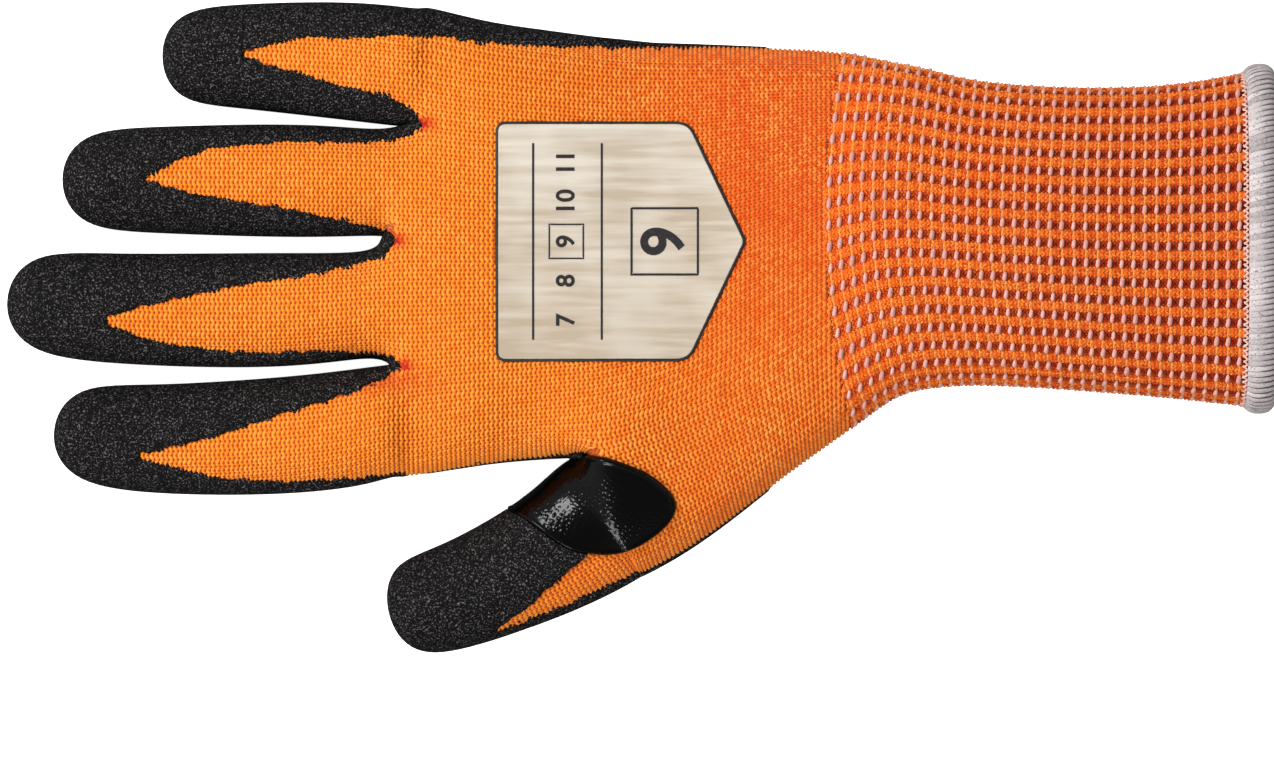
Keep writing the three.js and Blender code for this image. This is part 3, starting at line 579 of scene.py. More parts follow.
def tongue_outline(name):
    finger = THUMB if name == "thumb" else FINGERS[name]
    line = LINES[name]
    rows = curve_through(TONGUES[name])

    def at(row, k):
        return (line.at(row[0]) + line.across(row[0]) * row[k] * finger.width)[:2]

    return [*(at(row, 1) for row in rows), *(at(row, 2) for row in rows[::-1])]


def edge_place(along):
    rows = [(row.little_x, row.little_y) for row in (*WRIST_ROWS, *PALM_ROWS)]
    xs, ys = zip(*rows)
    if along > xs[-1]:
        return ys[-1] + (ys[-1] - ys[-2]) * (along - xs[-1]) / (xs[-1] - xs[-2])
    return np.interp(along, xs, ys)


WEB_END, MID_FINGER = 2.4, 0.03


def back_outline():
    rim = curve_through(LITTLE_RIM)
    little = [palm_place(x, edge_place(x) - r)[:2] + (0, STACK) for x, r in rim]
    index = [palm_place(row.thumb_x, row.thumb_y)[:2] + (0, THUMB_RIM - STACK) for row in reversed(PALM_ROWS)]
    crotch = palm_place(*THUMB_CROTCH)[:2]
    heel = palm_place(WRIST_ROWS[0].thumb_x, WRIST_ROWS[-1].thumb_y)[:2]
    root = [palm_place(row.thumb_x, row.thumb_y)[:2] - (0, 3) for row in reversed(WRIST_ROWS[1:])]
    webs = [crotch[:2] + (WEB_END, 0) for crotch in CROTCHES[1:]]
    fingers = [LINES[name].at(MID_FINGER)[:2] for name in ("middle", "ring")]
    scallops = [webs[0], fingers[0], webs[1], fingers[1], webs[2]]
    return [
        *index,
        crotch + (0, THUMB_RIM),
        *root,
        (root[-1][0], heel[1]),
        (heel[0] + 4, heel[1]),
        (heel[0] + 4, PALM_WIDTH / 2),
        (heel[0], PALM_WIDTH / 2),
        *little[::-1],
        *scallops[::-1],
    ]


# The patch over the thumb's crotch, from its top round the back of the thumb
PATCH_OUTLINE = [
    (-60.0, -48.2), (-57.0, -46.6), (-53.0, -46.9), (-48.3, -48.1), (-41.8, -50.9),
    (-37.3, -54.8), (-36.1, -58.3),
    (-38.2, -62.2), (-43.8, -66.4), (-49.3, -68.3), (-54.8, -68.3), (-60.4, -67.0), (-69.2, -61.2),
    (-74.0, -59.3), (-79.0, -57.5), (-74.0, -54.5), (-66.0, -51.2),
]
PATCH_FLOOR = SIDE_HEIGHT - 6
BLEND = 3.0
BARE_OUTLINES = [back_outline(), *(tongue_outline(name) for name in TONGUES)]
WEB_COAT = 1.3


def gap_line(one, other, crotch):
    """The middle of the gap between two fingers, from its crotch outwards and back."""

    def edge(name, along, side):
        return LINES[name].at(along) + LINES[name].across(along) * side * FINGERS[name].width / 2

    near, far = ((edge(one, along, 1) + edge(other, along, -1))[:2] / 2 for along in (0.1, 0.2))
    return [crotch[:2], near, far, near]


GAPS = [gap_line(one, other, web) for one, other, web in zip(list(FINGERS), list(FINGERS)[1:], CROTCHES[1:])]


def blended(one, other):
    """The lower of two fields, rounded where they cross."""
    share = np.clip(0.5 + 0.5 * (other - one) / BLEND, 0, 1)
    return other + (one - other) * share - BLEND * share * (1 - share)


def bare_depth(points):
    """Negative where the knit is bare, and how far in the coating a point lies elsewhere."""
    bare = distance_to(BARE_OUTLINES[0], points)
    for outline in BARE_OUTLINES[1:]:
        bare = blended(bare, distance_to(outline, points))
    for gap in GAPS:
        bare = np.maximum(bare, WEB_COAT - np.abs(distance_to(gap, points)))
    rise = THUMB_ROOT_RISE * smooth((-26 - points[:, 0]) / 20) * smooth((points[:, 0] + 68) / 10)
    rise -= THUMB_SIDE_DROP * smooth((-56 - points[:, 0]) / 10)
    rise *= points[:, 1] < -50
    bare = np.maximum(bare, SIDE_HEIGHT + rise - points[:, 2])
    return np.minimum(bare, DIP_LINE - points[:, 0])


LABEL_END = -PALM_LENGTH + 22.5
LABEL_HALF, LABEL_LENGTH, LABEL_POINT = 26.25, 55.0, 12.5
LABEL_CORNERS = [2.4, 3.0, 1.2, 3.0, 2.4]


def label_outline():
    half, shoulder = LABEL_HALF, LABEL_LENGTH - LABEL_POINT
    corners = [(0, -half), (shoulder, -half), (LABEL_LENGTH, 0), (shoulder, half), (0, half)]
    corners = np.array(corners) + (LABEL_END, 0)
    outline = []
    for i, radius in enumerate(LABEL_CORNERS):
        corner, before, after = corners[i], corners[i - 1], corners[(i + 1) % 5]
        enter = corner + (before - corner) / np.linalg.norm(before - corner) * radius
        leave = corner + (after - corner) / np.linalg.norm(after - corner) * radius
        for t in np.linspace(0, 1, 9):
            outline.append(enter * (1 - t) ** 2 + corner * 2 * t * (1 - t) + leave * t**2)
    return np.array(outline)


def label_depth(points):
    """Negative inside the label."""
    return np.maximum(distance_to(label_outline(), points), SIDE_HEIGHT - points[:, 2])


def patch_depth(points):
    """Negative inside the patch."""
    outline = curve_through([*PATCH_OUTLINE, PATCH_OUTLINE[0]], 5)[:-1]
    return np.maximum(distance_to(outline, points), PATCH_FLOOR - points[:, 2])


# Pieces of skin


def triangles_of(quads):
    return np.concatenate([quads[:, [0, 1, 2]], quads[:, [0, 2, 3]]])


def edge_numbers(triangles, count):
    """Each triangle's three edges as numbers of one list of edges."""
    ends = np.sort(np.stack([triangles, np.roll(triangles, -1, axis=1)], axis=2).reshape(-1, 2), axis=1)
    keys, index = np.unique(ends[:, 0] * count + ends[:, 1], return_inverse=True)
    return np.stack([keys // count, keys % count], axis=1), index.reshape(-1, 3)


def refine(points, normals, triangles, marked):
    """Splits the marked triangles in four, and their neighbours so that no edge is left open."""
    edges, numbers = edge_numbers(triangles, len(points))
    split = np.zeros(len(edges), bool)
    split[numbers[marked].ravel()] = True
    a, b = edges[split].T
    middle = (points[a] + points[b]) / 2

    def lean(end):
        return middle - np.sum((middle - points[end]) * normals[end], axis=1)[:, None] * normals[end]

    middle = middle * 0.4 + (lean(a) + lean(b)) * 0.3
    normal = normals[a] + normals[b]
    normal /= np.linalg.norm(normal, axis=1, keepdims=True)
    ids = np.full(len(edges), -1)
    ids[split] = len(points) + np.arange(split.sum())
    cut = split[numbers]
    how_many = cut.sum(axis=1)
    result = [triangles[how_many == 0]]
    for k in range(3):
        t = np.roll(triangles, -k, axis=1)
        m = np.roll(ids[numbers], -k, axis=1)
        c = np.roll(cut, -k, axis=1)
        one = c[:, 0] & (how_many == 1)
        two = c[:, 0] & c[:, 1] & (how_many == 2)
        parts = [
            (t[one, 0], m[one, 0], t[one, 2]),
            (m[one, 0], t[one, 1], t[one, 2]),
            (t[two, 0], m[two, 0], t[two, 2]),
            (m[two, 0], m[two, 1], t[two, 2]),
            (m[two, 0], t[two, 1], m[two, 1]),
        ]
        result += [np.stack(part, axis=1) for part in parts]
    full = how_many == 3
    t, m = triangles[full], ids[numbers[full]]
    corners = [(t[:, k], m[:, k], m[:, k - 1]) for k in range(3)]
    result += [np.stack(part, axis=1) for part in (*corners, (m[:, 0], m[:, 1], m[:, 2]))]
    return np.concatenate([points, middle]), np.concatenate([normals, normal]), np.concatenate(result)


def clip(points, normals, triangles, field):
    """Keeps what lies where the field is positive, cut along its zero line."""
    field = np.where(np.abs(field) < 0.03, np.where(field < 0, -0.03, 0.03), field)
    keep = field > 0
    inside = keep[triangles]
    how_many = inside.sum(axis=1)
    result = [triangles[how_many == 3]]
    cut_edges = []
    for k in range(3):
        t, c = np.roll(triangles, -k, axis=1), np.roll(inside, -k, axis=1)
        one = c[:, 0] & (how_many == 1)
        two = ~c[:, 0] & (how_many == 2)
        cut_edges += [(t[one], "one"), (t[two], "two")]
    mixed = triangles[(how_many > 0) & (how_many < 3)]
    edges, _ = edge_numbers(mixed, len(points))
    crossing = edges[keep[edges[:, 0]] != keep[edges[:, 1]]]
    a, b = crossing.T
    share = (field[a] / (field[a] - field[b]))[:, None]
    new_points = points[a] + (points[b] - points[a]) * share
    new_normals = normals[a] + (normals[b] - normals[a]) * share
    new_normals /= np.linalg.norm(new_normals, axis=1, keepdims=True)
    order = np.argsort(a * len(points) + b)
    sorted_keys = (a * len(points) + b)[order]

    def on_edge(p, q):
        keys = np.minimum(p, q) * len(points) + np.maximum(p, q)
        return len(points) + order[np.searchsorted(sorted_keys, keys)]

    for t, kind in cut_edges:
        ab, ac = on_edge(t[:, 0], t[:, 1]), on_edge(t[:, 0], t[:, 2])
        if kind == "one":
            result.append(np.stack([t[:, 0], ab, ac], axis=1))
        else:
            result += [np.stack([t[:, 1], t[:, 2], ac], axis=1), np.stack([t[:, 1], ac, ab], axis=1)]
    triangles = np.concatenate(result)
    used, index = np.unique(triangles, return_inverse=True)
    points, normals = np.concatenate([points, new_points]), np.concatenate([normals, new_normals])
    return points[used], normals[used], index.reshape(-1, 3)


def rim_of(faces):
    """The directed edges of a sheet that have no face on their other side."""
    ends = np.stack([faces, np.roll(faces, -1, axis=1)], axis=2).reshape(-1, 2)
    big = faces.max() + 1
    return ends[~np.isin(ends[:, 1] * big + ends[:, 0], ends[:, 0] * big + ends[:, 1])]


def shell_of(points, normals, faces, low, high):
    """A closed sheet between two distances from the skin, with the faces as lists."""
    outer = points + normals * np.broadcast_to(high, len(points))[:, None]
    inner = points + normals * np.broadcast_to(low, len(points))[:, None]
    count = len(points)
    rim = rim_of(faces)
    walls = np.stack([rim[:, 1], rim[:, 0], rim[:, 0] + count, rim[:, 1] + count], axis=1)
    every = [*faces.tolist(), *(faces[:, ::-1] + count).tolist(), *walls.tolist()]
    return np.concatenate([outer, inner]), every


def patch_of_skin(field, rounds):
    """The part of the hand's skin where field is positive, with finer triangles near its edge.

    Each round splits the triangles whose field lies between its two limits."""
    points, normals, triangles = SKIN.points, SKIN.normals, triangles_of(SKIN.quads)
    for low, high in rounds:
        depth = field(points)[triangles]
        near = (depth.max(axis=1) > low) & (depth.min(axis=1) < high)
        points, normals, triangles = refine(points, normals, triangles, near)
    return points, normals, triangles


# Objects and node trees


def add(tree, kind, inputs=(), **settings):
    """Adds a node with its settings, and links or sets its inputs, by name or number."""
    node = tree.nodes.new(kind)
    for key, value in settings.items():
        setattr(node, key, value)
    for key, value in dict(inputs).items():
        if isinstance(value, bpy.types.NodeSocket):
            tree.links.new(value, node.inputs[key])
        else:
            node.inputs[key].default_value = value
    return node


def make_mesh(name, points, faces, placed=False):
    mesh = bpy.data.meshes.new(name)
    points = np.asarray(points) if placed else to_metres(points)
    mesh.from_pydata(points.tolist(), [], faces if isinstance(faces, list) else np.asarray(faces).tolist())
    if len(mesh.polygons):
        mesh.polygons.foreach_set("use_smooth", np.ones(len(mesh.polygons), bool))
    return mesh


def set_attribute(mesh, name, values):
    kind = "FLOAT_VECTOR" if np.ndim(values) == 2 else "FLOAT"
    attribute = mesh.attributes.new(name, kind, "POINT")
    key = "vector" if kind == "FLOAT_VECTOR" else "value"
    attribute.data.foreach_set(key, np.ascontiguousarray(values, np.float32).ravel())


def finish_piece(piece, material=None, replaces=None):
    """Links the piece, gives it its material and tells the frame what it is."""
    if not piece.users_collection:
        bpy.context.scene.collection.objects.link(piece)
    if material:
        piece.data.materials.clear()
        piece.data.materials.append(material)
    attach(piece, BODY)
    if replaces:
        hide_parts(replaces)
    return piece


def bake_nodes(piece, tree, values):
    """Runs a node tree on a piece and keeps the result as its plain mesh."""
    bpy.context.scene.collection.objects.link(piece)
    modifier = piece.modifiers.new(tree.name, "NODES")
    modifier.node_group = tree
    for socket in tree.interface.items_tree:
        if socket.item_type == "SOCKET" and socket.in_out == "INPUT" and socket.name in values:
            modifier[socket.identifier] = values[socket.name]
    graph = bpy.context.evaluated_depsgraph_get()
    made = piece.evaluated_get(graph)
    result = bpy.data.meshes.new_from_object(made, preserve_all_data_layers=True, depsgraph=graph)
    piece.modifiers.clear()
    old, piece.data = piece.data, result
    bpy.data.meshes.remove(old)
    result.name = piece.name
    return piece


def thread_tree():
    """Lays one short piece of thread on each point, along its direction and out from the cloth."""
    name = "threads on points"
    if name in bpy.data.node_groups:
        return bpy.data.node_groups[name]
    tree = bpy.data.node_groups.new(name, "GeometryNodeTree")
    socket = tree.interface.new_socket
    socket("Geometry", in_out="INPUT", socket_type="NodeSocketGeometry")
    socket("Thread", in_out="INPUT", socket_type="NodeSocketObject")
    socket("Length", in_out="INPUT", socket_type="NodeSocketFloat").default_value = 1.0
    socket("Width", in_out="INPUT", socket_type="NodeSocketFloat").default_value = 1.0
    socket("Height", in_out="INPUT", socket_type="NodeSocketFloat").default_value = 1.0
    socket("Unevenness", in_out="INPUT", socket_type="NodeSocketFloat").default_value = 0.1
    socket("Seed", in_out="INPUT", socket_type="NodeSocketInt").default_value = 1
    socket("Material", in_out="INPUT", socket_type="NodeSocketMaterial")
    socket("Geometry", in_out="OUTPUT", socket_type="NodeSocketGeometry")
    given = add(tree, "NodeGroupInput").outputs
    read = lambda label, kind: add(
        tree, "GeometryNodeInputNamedAttribute", {"Name": label}, data_type=kind
    ).outputs[0]
    first = add(
        tree, "FunctionNodeAlignRotationToVector", {"Vector": read("along", "FLOAT_VECTOR")}, axis="X"
    )
    turned = add(
        tree,
        "FunctionNodeAlignRotationToVector",
        {"Rotation": first.outputs[0], "Vector": read("out", "FLOAT_VECTOR")},
        axis="Z",
        pivot_axis="X",
    )
    size = add(
        tree, "ShaderNodeCombineXYZ", {"X": given["Length"], "Y": given["Width"], "Z": given["Height"]}
    )
    low = add(tree, "ShaderNodeMath", {0: 1.0, 1: given["Unevenness"]}, operation="SUBTRACT")
    high = add(tree, "ShaderNodeMath", {0: 1.0, 1: given["Unevenness"]}, operation="ADD")
    vary = add(
        tree, "FunctionNodeRandomValue", {2: low.outputs[0], 3: high.outputs[0], "Seed": given["Seed"]}
    )
    local = add(
        tree,
        "ShaderNodeVectorMath",
        {0: size.outputs[0], 1: read("size", "FLOAT_VECTOR")},
        operation="MULTIPLY",
    )
    scale = add(
        tree, "ShaderNodeVectorMath", {0: local.outputs[0], "Scale": vary.outputs[1]}, operation="SCALE"
    )
    thread = add(tree, "GeometryNodeObjectInfo", {"Object": given["Thread"]})
    laid = add(
        tree,
        "GeometryNodeInstanceOnPoints",
        {
            "Points": given["Geometry"],
            "Instance": thread.outputs["Geometry"],
            "Rotation": turned.outputs[0],
            "Scale": scale.outputs[0],
        },
    )
    shade = add(tree, "FunctionNodeRandomValue", {2: 0.0, 3: 1.0, "Seed": given["Seed"]})
    marked = add(
        tree,
        "GeometryNodeStoreNamedAttribute",
        {"Geometry": laid.outputs[0], "Name": "shade", "Value": shade.outputs[1]},
        data_type="FLOAT",
        domain="INSTANCE",
    )
    real = add(tree, "GeometryNodeRealizeInstances", {"Geometry": marked.outputs[0]})
    soft = add(tree, "GeometryNodeSetShadeSmooth", {"Geometry": real.outputs[0]})
    dyed = add(tree, "GeometryNodeSetMaterial", {"Geometry": soft.outputs[0], "Material": given["Material"]})
    add(tree, "NodeGroupOutput", {"Geometry": dyed.outputs[0]})
    return tree


def lay_threads(name, points, along, out, size, template, material, values=(), extra=()):
    """A piece made of one thread for each point. size holds each thread's three sizes."""
    cloud = make_mesh(name, points, [])
    set_attribute(cloud, "along", along)
    set_attribute(cloud, "out", out)
    set_attribute(cloud, "size", np.asarray(size) * MM)
    for key, numbers in dict(extra).items():
        set_attribute(cloud, key, numbers)
    thread = bpy.data.objects.new(name + " thread", template)
    bpy.context.scene.collection.objects.link(thread)
    piece = bpy.data.objects.new(name, cloud)
    bake_nodes(piece, thread_tree(), {"Thread": thread, "Material": material, **dict(values)})
    bpy.data.objects.remove(thread)
    return piece


def stitch_leg():
    """Half a stitch: a bar two units long and two wide, with blunt ends that meet the next one's."""
    points = [(-1, -0.7, 0), (0, -1, 0), (1, -0.7, 0), (1, 0.7, 0), (0, 1, 0), (-1, 0.7, 0)]
    points += [(-0.6, 0, 1), (0.6, 0, 1)]
    faces = [[0, 1, 7, 6], [1, 2, 7], [2, 3, 7], [3, 4, 7], [4, 5, 6, 7], [5, 0, 6]]
    return make_mesh("stitch leg", points, faces, placed=True)


def rib_leg():
    """Half a rib stitch: a bar of two slopes and two ends, because the cuff has so many."""
    points = [(-1, -0.9, 0), (1, -0.9, 0), (1, 0.9, 0), (-1, 0.9, 0), (-0.5, 0, 1), (0.5, 0, 1)]
    return make_mesh("rib leg", points, [[0, 1, 5, 4], [1, 2, 5], [2, 3, 4, 5], [3, 0, 4]], placed=True)


def round_thread():
    """A short round thread whose ends dive into the cloth."""
    rings, sides = 5, 5
    points = []
    for i in range(rings):
        x = -1 + 2 * i / (rings - 1)
        full = math.sqrt(max(0, 1 - abs(x) ** 3.5)) + 0.12
        lift = -1.0 * abs(x) ** 3
        for k in range(sides):
            angle = math.pi * k / (sides - 1)
            points.append((x, math.cos(angle) * full, math.sin(angle) * full + lift))
    faces = []
    for i in range(rings - 1):
        for k in range(sides - 1):
            a = i * sides + k
            faces.append([a, a + sides, a + sides + 1, a + 1])
    return make_mesh("round thread", points, [face[::-1] for face in faces], placed=True)


# Materials


def new_material(name):
    material = bpy.data.materials.new(name)
    material.use_nodes = True
    material.node_tree.nodes.clear()
    return material, material.node_tree


def end_material(tree, shader):
    add(tree, "ShaderNodeOutputMaterial", {"Surface": shader.outputs[0]})


def blend_colour(tree, share, one, other, mode="MIX"):
    """Mixes two colours, each a socket or a value."""
    node = add(tree, "ShaderNodeMix", {0: share, 6: one, 7: other}, data_type="RGBA", blend_type=mode)
    return node.outputs[2]


def knit_yarn(name, body, light, deep, painted_shade, band, pore_shade):
    """Dyed polyester yarn, knitted: dull, with the soft bright edge of loose fibres. Each stitch takes a
    little painted highlight at random, broad areas drift in depth, painted shade darkens small pores
    between fibres and deep folds, the yarn is shaded deeper where the wrist attribute says so, and a
    pale thread is laid in where the band says so."""
    material, tree = new_material(name)
    place = add(tree, "ShaderNodeTexCoord").outputs["Object"]
    shade = add(tree, "ShaderNodeAttribute", attribute_name="shade").outputs["Fac"]
    fold = add(tree, "ShaderNodeAttribute", attribute_name="fold").outputs["Fac"]
    wrist_shade = add(tree, "ShaderNodeAttribute", attribute_name="wrist").outputs["Fac"]
    laid_in = add(tree, "ShaderNodeAttribute", attribute_name="band").outputs["Fac"]
    drift = add(tree, "ShaderNodeTexNoise", {"Vector": place, "Scale": 60.0, "Detail": 2.0})
    fibre = add(tree, "ShaderNodeTexNoise", {"Vector": place, "Scale": 2600.0, "Detail": 2.0})
    pores = add(tree, "ShaderNodeTexNoise", {"Vector": place, "Scale": 1700.0, "Detail": 1.0})
    # Painted shade on small pores between the fibres.
    pore = add(tree, "ShaderNodeMapRange", {0: pores.outputs["Fac"], 1: 0.5, 2: 0.62, 4: pore_shade})
    lit = add(tree, "ShaderNodeMath", {0: shade, 1: drift.outputs["Fac"]}, operation="MULTIPLY")
    # Painted shade: the yarn is drawn deeper where the wrist attribute says so.
    colour = blend_colour(tree, wrist_shade, body, deep)
    colour = blend_colour(tree, lit.outputs[0], colour, light)
    # Painted shade: the pores and the folds are darkened.
    colour = blend_colour(tree, pore.outputs[0], colour, painted_shade)
    colour = blend_colour(tree, fold, colour, painted_shade)
    colour = blend_colour(tree, laid_in, colour, band)
    bump = add(tree, "ShaderNodeBump", {"Height": fibre.outputs["Fac"], "Strength": 0.35, "Distance": 0.0001})
    shader = add(
        tree,
        "ShaderNodeBsdfPrincipled",
        {
            "Base Color": colour,
            "Roughness": 0.78,
            "Specular IOR Level": 0.25,
            "Sheen Weight": 0.2,
            "Sheen Roughness": 0.5,
            "Sheen Tint": linear("#ffc090"),
            "Normal": bump.outputs[0],
        },
    )
    end_material(tree, shader)
    return material


def knit_ground(name, body, gap, painted_shade):
    """The cloth between and under the raised stitches: the same yarn in its own shadow, drawn as
    V stitches from the counted wales and courses in the UV map."""
    material, tree = new_material(name)
    number = add(tree, "ShaderNodeUVMap", uv_map="stitches").outputs[0]
    split = add(tree, "ShaderNodeSeparateXYZ", {0: number})
    fold = add(tree, "ShaderNodeAttribute", attribute_name="fold").outputs["Fac"]
    lean = add(tree, "ShaderNodeMath", {0: split.outputs[0], 1: 0.5}, operation="PINGPONG")
    slanted = add(
        tree, "ShaderNodeMath", {0: lean.outputs[0], 1: 2.4, 2: split.outputs[1]}, operation="MULTIPLY_ADD"
    )
    across = add(tree, "ShaderNodeMath", {0: slanted.outputs[0], 1: 0.5}, operation="PINGPONG")
    column = add(tree, "ShaderNodeMath", {0: lean.outputs[0], 1: 0.25}, operation="PINGPONG")
    rise = add(tree, "ShaderNodeMath", {0: across.outputs[0], 1: column.outputs[0]}, operation="MULTIPLY")
    height = add(tree, "ShaderNodeMath", {0: rise.outputs[0], 1: 8.0}, operation="MULTIPLY", use_clamp=True)
    colour = blend_colour(tree, height.outputs[0], gap, body)
    # Painted shade: the folds between the fingers are darkened.
    colour = blend_colour(tree, fold, colour, painted_shade)
    bump = add(tree, "ShaderNodeBump", {"Height": height.outputs[0], "Strength": 0.8, "Distance": 0.0003})
    shader = add(
        tree,
        "ShaderNodeBsdfPrincipled",
        {
            "Base Color": colour,
            "Roughness": 0.85,
            "Specular IOR Level": 0.2,
            "Sheen Weight": 0.15,
            "Normal": bump.outputs[0],
        },
    )
    end_material(tree, shader)
    return material


def sandy_foam(colour, crumb_highlight):
    """Nitrile rubber dipped as foam and dusted with salt, which is washed out: matt black with
    crumbs of 0.3 to 0.6 mm, whose light caught on their edges is painted in as pale highlights from noise."""
    material, tree = new_material("sandy foam nitrile")
    place = add(tree, "ShaderNodeTexCoord").outputs["Object"]
    crumbs = add(tree, "ShaderNodeTexVoronoi", {"Vector": place, "Scale": 1900.0})
    grit = add(
        tree, "ShaderNodeTexNoise", {"Vector": place, "Scale": 2400.0, "Detail": 3.0, "Roughness": 0.6}
    )
    lumps = add(tree, "ShaderNodeTexNoise", {"Vector": place, "Scale": 380.0, "Detail": 2.0})
    lit = add(tree, "ShaderNodeValToRGB", {0: grit.outputs["Fac"]})
    lit.color_ramp.elements[0].position, lit.color_ramp.elements[1].position = 0.55, 0.73
    # Painted highlight: pale flecks for crumbs catching the light.
    base = blend_colour(tree, lit.outputs[0], colour, crumb_highlight)
    coarse = add(
        tree, "ShaderNodeMath", {0: crumbs.outputs["Distance"], 1: grit.outputs["Fac"]}, operation="SUBTRACT"
    )
    relief = add(
        tree,
        "ShaderNodeMath",
        {0: lumps.outputs["Fac"], 1: 0.8, 2: coarse.outputs[0]},
        operation="MULTIPLY_ADD",
    )
    bump = add(tree, "ShaderNodeBump", {"Height": relief.outputs[0], "Strength": 0.9, "Distance": 0.00022})
    shader = add(
        tree,
        "ShaderNodeBsdfPrincipled",
        {
            "Base Color": base,
            "Roughness": 0.7,
            "Specular IOR Level": 0.1,
            "IOR": 1.52,
            "Normal": bump.outputs[0],
        },
    )
    end_material(tree, shader)
    return material


def smooth_dip(colour):
    """Nitrile rubber dipped without foam: wet-looking black that mirrors the lamps in small
    glints on the stitches under it."""
    material, tree = new_material("smooth dipped nitrile")
    place = add(tree, "ShaderNodeTexCoord").outputs["Object"]
    ripple = add(tree, "ShaderNodeTexNoise", {"Vector": place, "Scale": 700.0, "Detail": 2.0})
    dull = add(tree, "ShaderNodeMapRange", {0: ripple.outputs["Fac"], 3: 0.05, 4: 0.2})
    bump = add(
        tree, "ShaderNodeBump", {"Height": ripple.outputs["Fac"], "Strength": 0.35, "Distance": 0.0002}
    )
    shader = add(
        tree,
        "ShaderNodeBsdfPrincipled",
        {
            "Base Color": colour,
            "Roughness": dull.outputs[0],
            "Specular IOR Level": 0.14,
            "Normal": bump.outputs[0],
        },
    )
    end_material(tree, shader)
    return material


def pressed_film(colour, film_shade):
    """Polyurethane transfer film, heat pressed over knit: satin, with the wales under it showing as
    faint lines along the glove. Painted shade darkens it along the lines over the cloth's furrows and
    towards the thumb's side."""
    material, tree = new_material("heat transfer film")
    place = add(tree, "ShaderNodeTexCoord").outputs["Object"]
    stretched = add(tree, "ShaderNodeMapping", {"Vector": place, "Scale": (40.0, 540.0, 1.0)})
    lines = add(tree, "ShaderNodeTexNoise", {"Vector": stretched.outputs[0], "Scale": 1.0, "Detail": 3.0})
    weave = add(tree, "ShaderNodeMapping", {"Vector": place, "Scale": (500.0, 60.0, 1.0)})
    rows = add(tree, "ShaderNodeTexNoise", {"Vector": weave.outputs[0], "Scale": 1.0, "Detail": 1.0})
    cloud = add(tree, "ShaderNodeTexNoise", {"Vector": place, "Scale": 55.0, "Detail": 2.0})
    fade = add(
        tree, "ShaderNodeMath", {0: lines.outputs["Fac"], 1: cloud.outputs["Fac"]}, operation="MULTIPLY"
    )
    side = add(tree, "ShaderNodeSeparateXYZ", {0: place}).outputs[1]
    # Painted shade: the film darkens towards the thumb's side.
    lower = add(tree, "ShaderNodeMapRange", {0: side, 1: 0.045, 2: -0.012, 4: 0.55})
    share = add(tree, "ShaderNodeMapRange", {0: fade.outputs[0], 1: 0.14, 2: 0.36, 4: 0.75})
    both = add(
        tree, "ShaderNodeMath", {0: share.outputs[0], 1: lower.outputs[0]}, operation="ADD", use_clamp=True
    )
    base = blend_colour(tree, both.outputs[0], colour, film_shade)
    relief = add(
        tree,
        "ShaderNodeMath",
        {0: rows.outputs["Fac"], 1: 0.4, 2: lines.outputs["Fac"]},
        operation="MULTIPLY_ADD",
    )
    bump = add(tree, "ShaderNodeBump", {"Height": relief.outputs[0], "Strength": 0.3, "Distance": 0.0002})
    shader = add(
        tree,
        "ShaderNodeBsdfPrincipled",
        {"Base Color": base, "Roughness": 0.5, "IOR": 1.5, "Normal": bump.outputs[0]},
    )
    end_material(tree, shader)
    return material


def label_ink(colour):
    """Screen ink on the film: flat black, thin enough for the cloth's lines to break it slightly."""
    material, tree = new_material("label ink")
    place = add(tree, "ShaderNodeTexCoord").outputs["Object"]
    wear = add(tree, "ShaderNodeTexNoise", {"Vector": place, "Scale": 900.0, "Detail": 2.0})
    share = add(tree, "ShaderNodeMapRange", {0: wear.outputs["Fac"], 1: 0.55, 2: 0.8, 4: 0.35})
    base = blend_colour(tree, share.outputs[0], colour, linear("#4a3d39"))
    shader = add(tree, "ShaderNodeBsdfPrincipled", {"Base Color": base, "Roughness": 0.55})
    end_material(tree, shader)
    return material


def rib_knit(body, groove, far_groove, band):
    """Polyester rib over elastic: crests orange, grooves in a shadow that deepens towards the hem,
    and a pale thread showing through where each elastic course crosses a crest."""
    material, tree = new_material("ribbed polyester knit")
    place = add(tree, "ShaderNodeTexCoord").outputs["Object"]
    crest = add(tree, "ShaderNodeAttribute", attribute_name="crest").outputs["Fac"]
    elastic = add(tree, "ShaderNodeAttribute", attribute_name="elastic").outputs["Fac"]
    uneven = add(tree, "ShaderNodeTexNoise", {"Vector": place, "Scale": 700.0, "Detail": 2.0})
    raised = add(
        tree, "ShaderNodeMath", {0: uneven.outputs["Fac"], 1: 0.5, 2: crest}, operation="MULTIPLY_ADD"
    )
    share = add(tree, "ShaderNodeMapRange", {0: raised.outputs[0], 1: 0.1, 2: 1.9})
    along = add(tree, "ShaderNodeSeparateXYZ", {0: place}).outputs[0]
    deeper = add(tree, "ShaderNodeMapRange", {0: along, 1: 0.05, 2: 0.1})
    shadow = blend_colour(tree, deeper.outputs[0], groove, far_groove)
    colour = blend_colour(tree, share.outputs[0], shadow, body)
    across = add(tree, "ShaderNodeMath", {0: elastic, 1: crest}, operation="MULTIPLY")
    faint = add(tree, "ShaderNodeMath", {0: across.outputs[0], 1: 0.6}, operation="MULTIPLY")
    colour = blend_colour(tree, faint.outputs[0], colour, band)
    bump = add(tree, "ShaderNodeBump", {"Height": uneven.outputs["Fac"], "Strength": 0.5, "Distance": 0.0002})
    shader = add(
        tree,
        "ShaderNodeBsdfPrincipled",
        {
            "Base Color": colour,
            "Roughness": 0.82,
            "Specular IOR Level": 0.2,
            "Sheen Weight": 0.2,
            "Normal": bump.outputs[0],
        },
    )
    end_material(tree, shader)
    return material


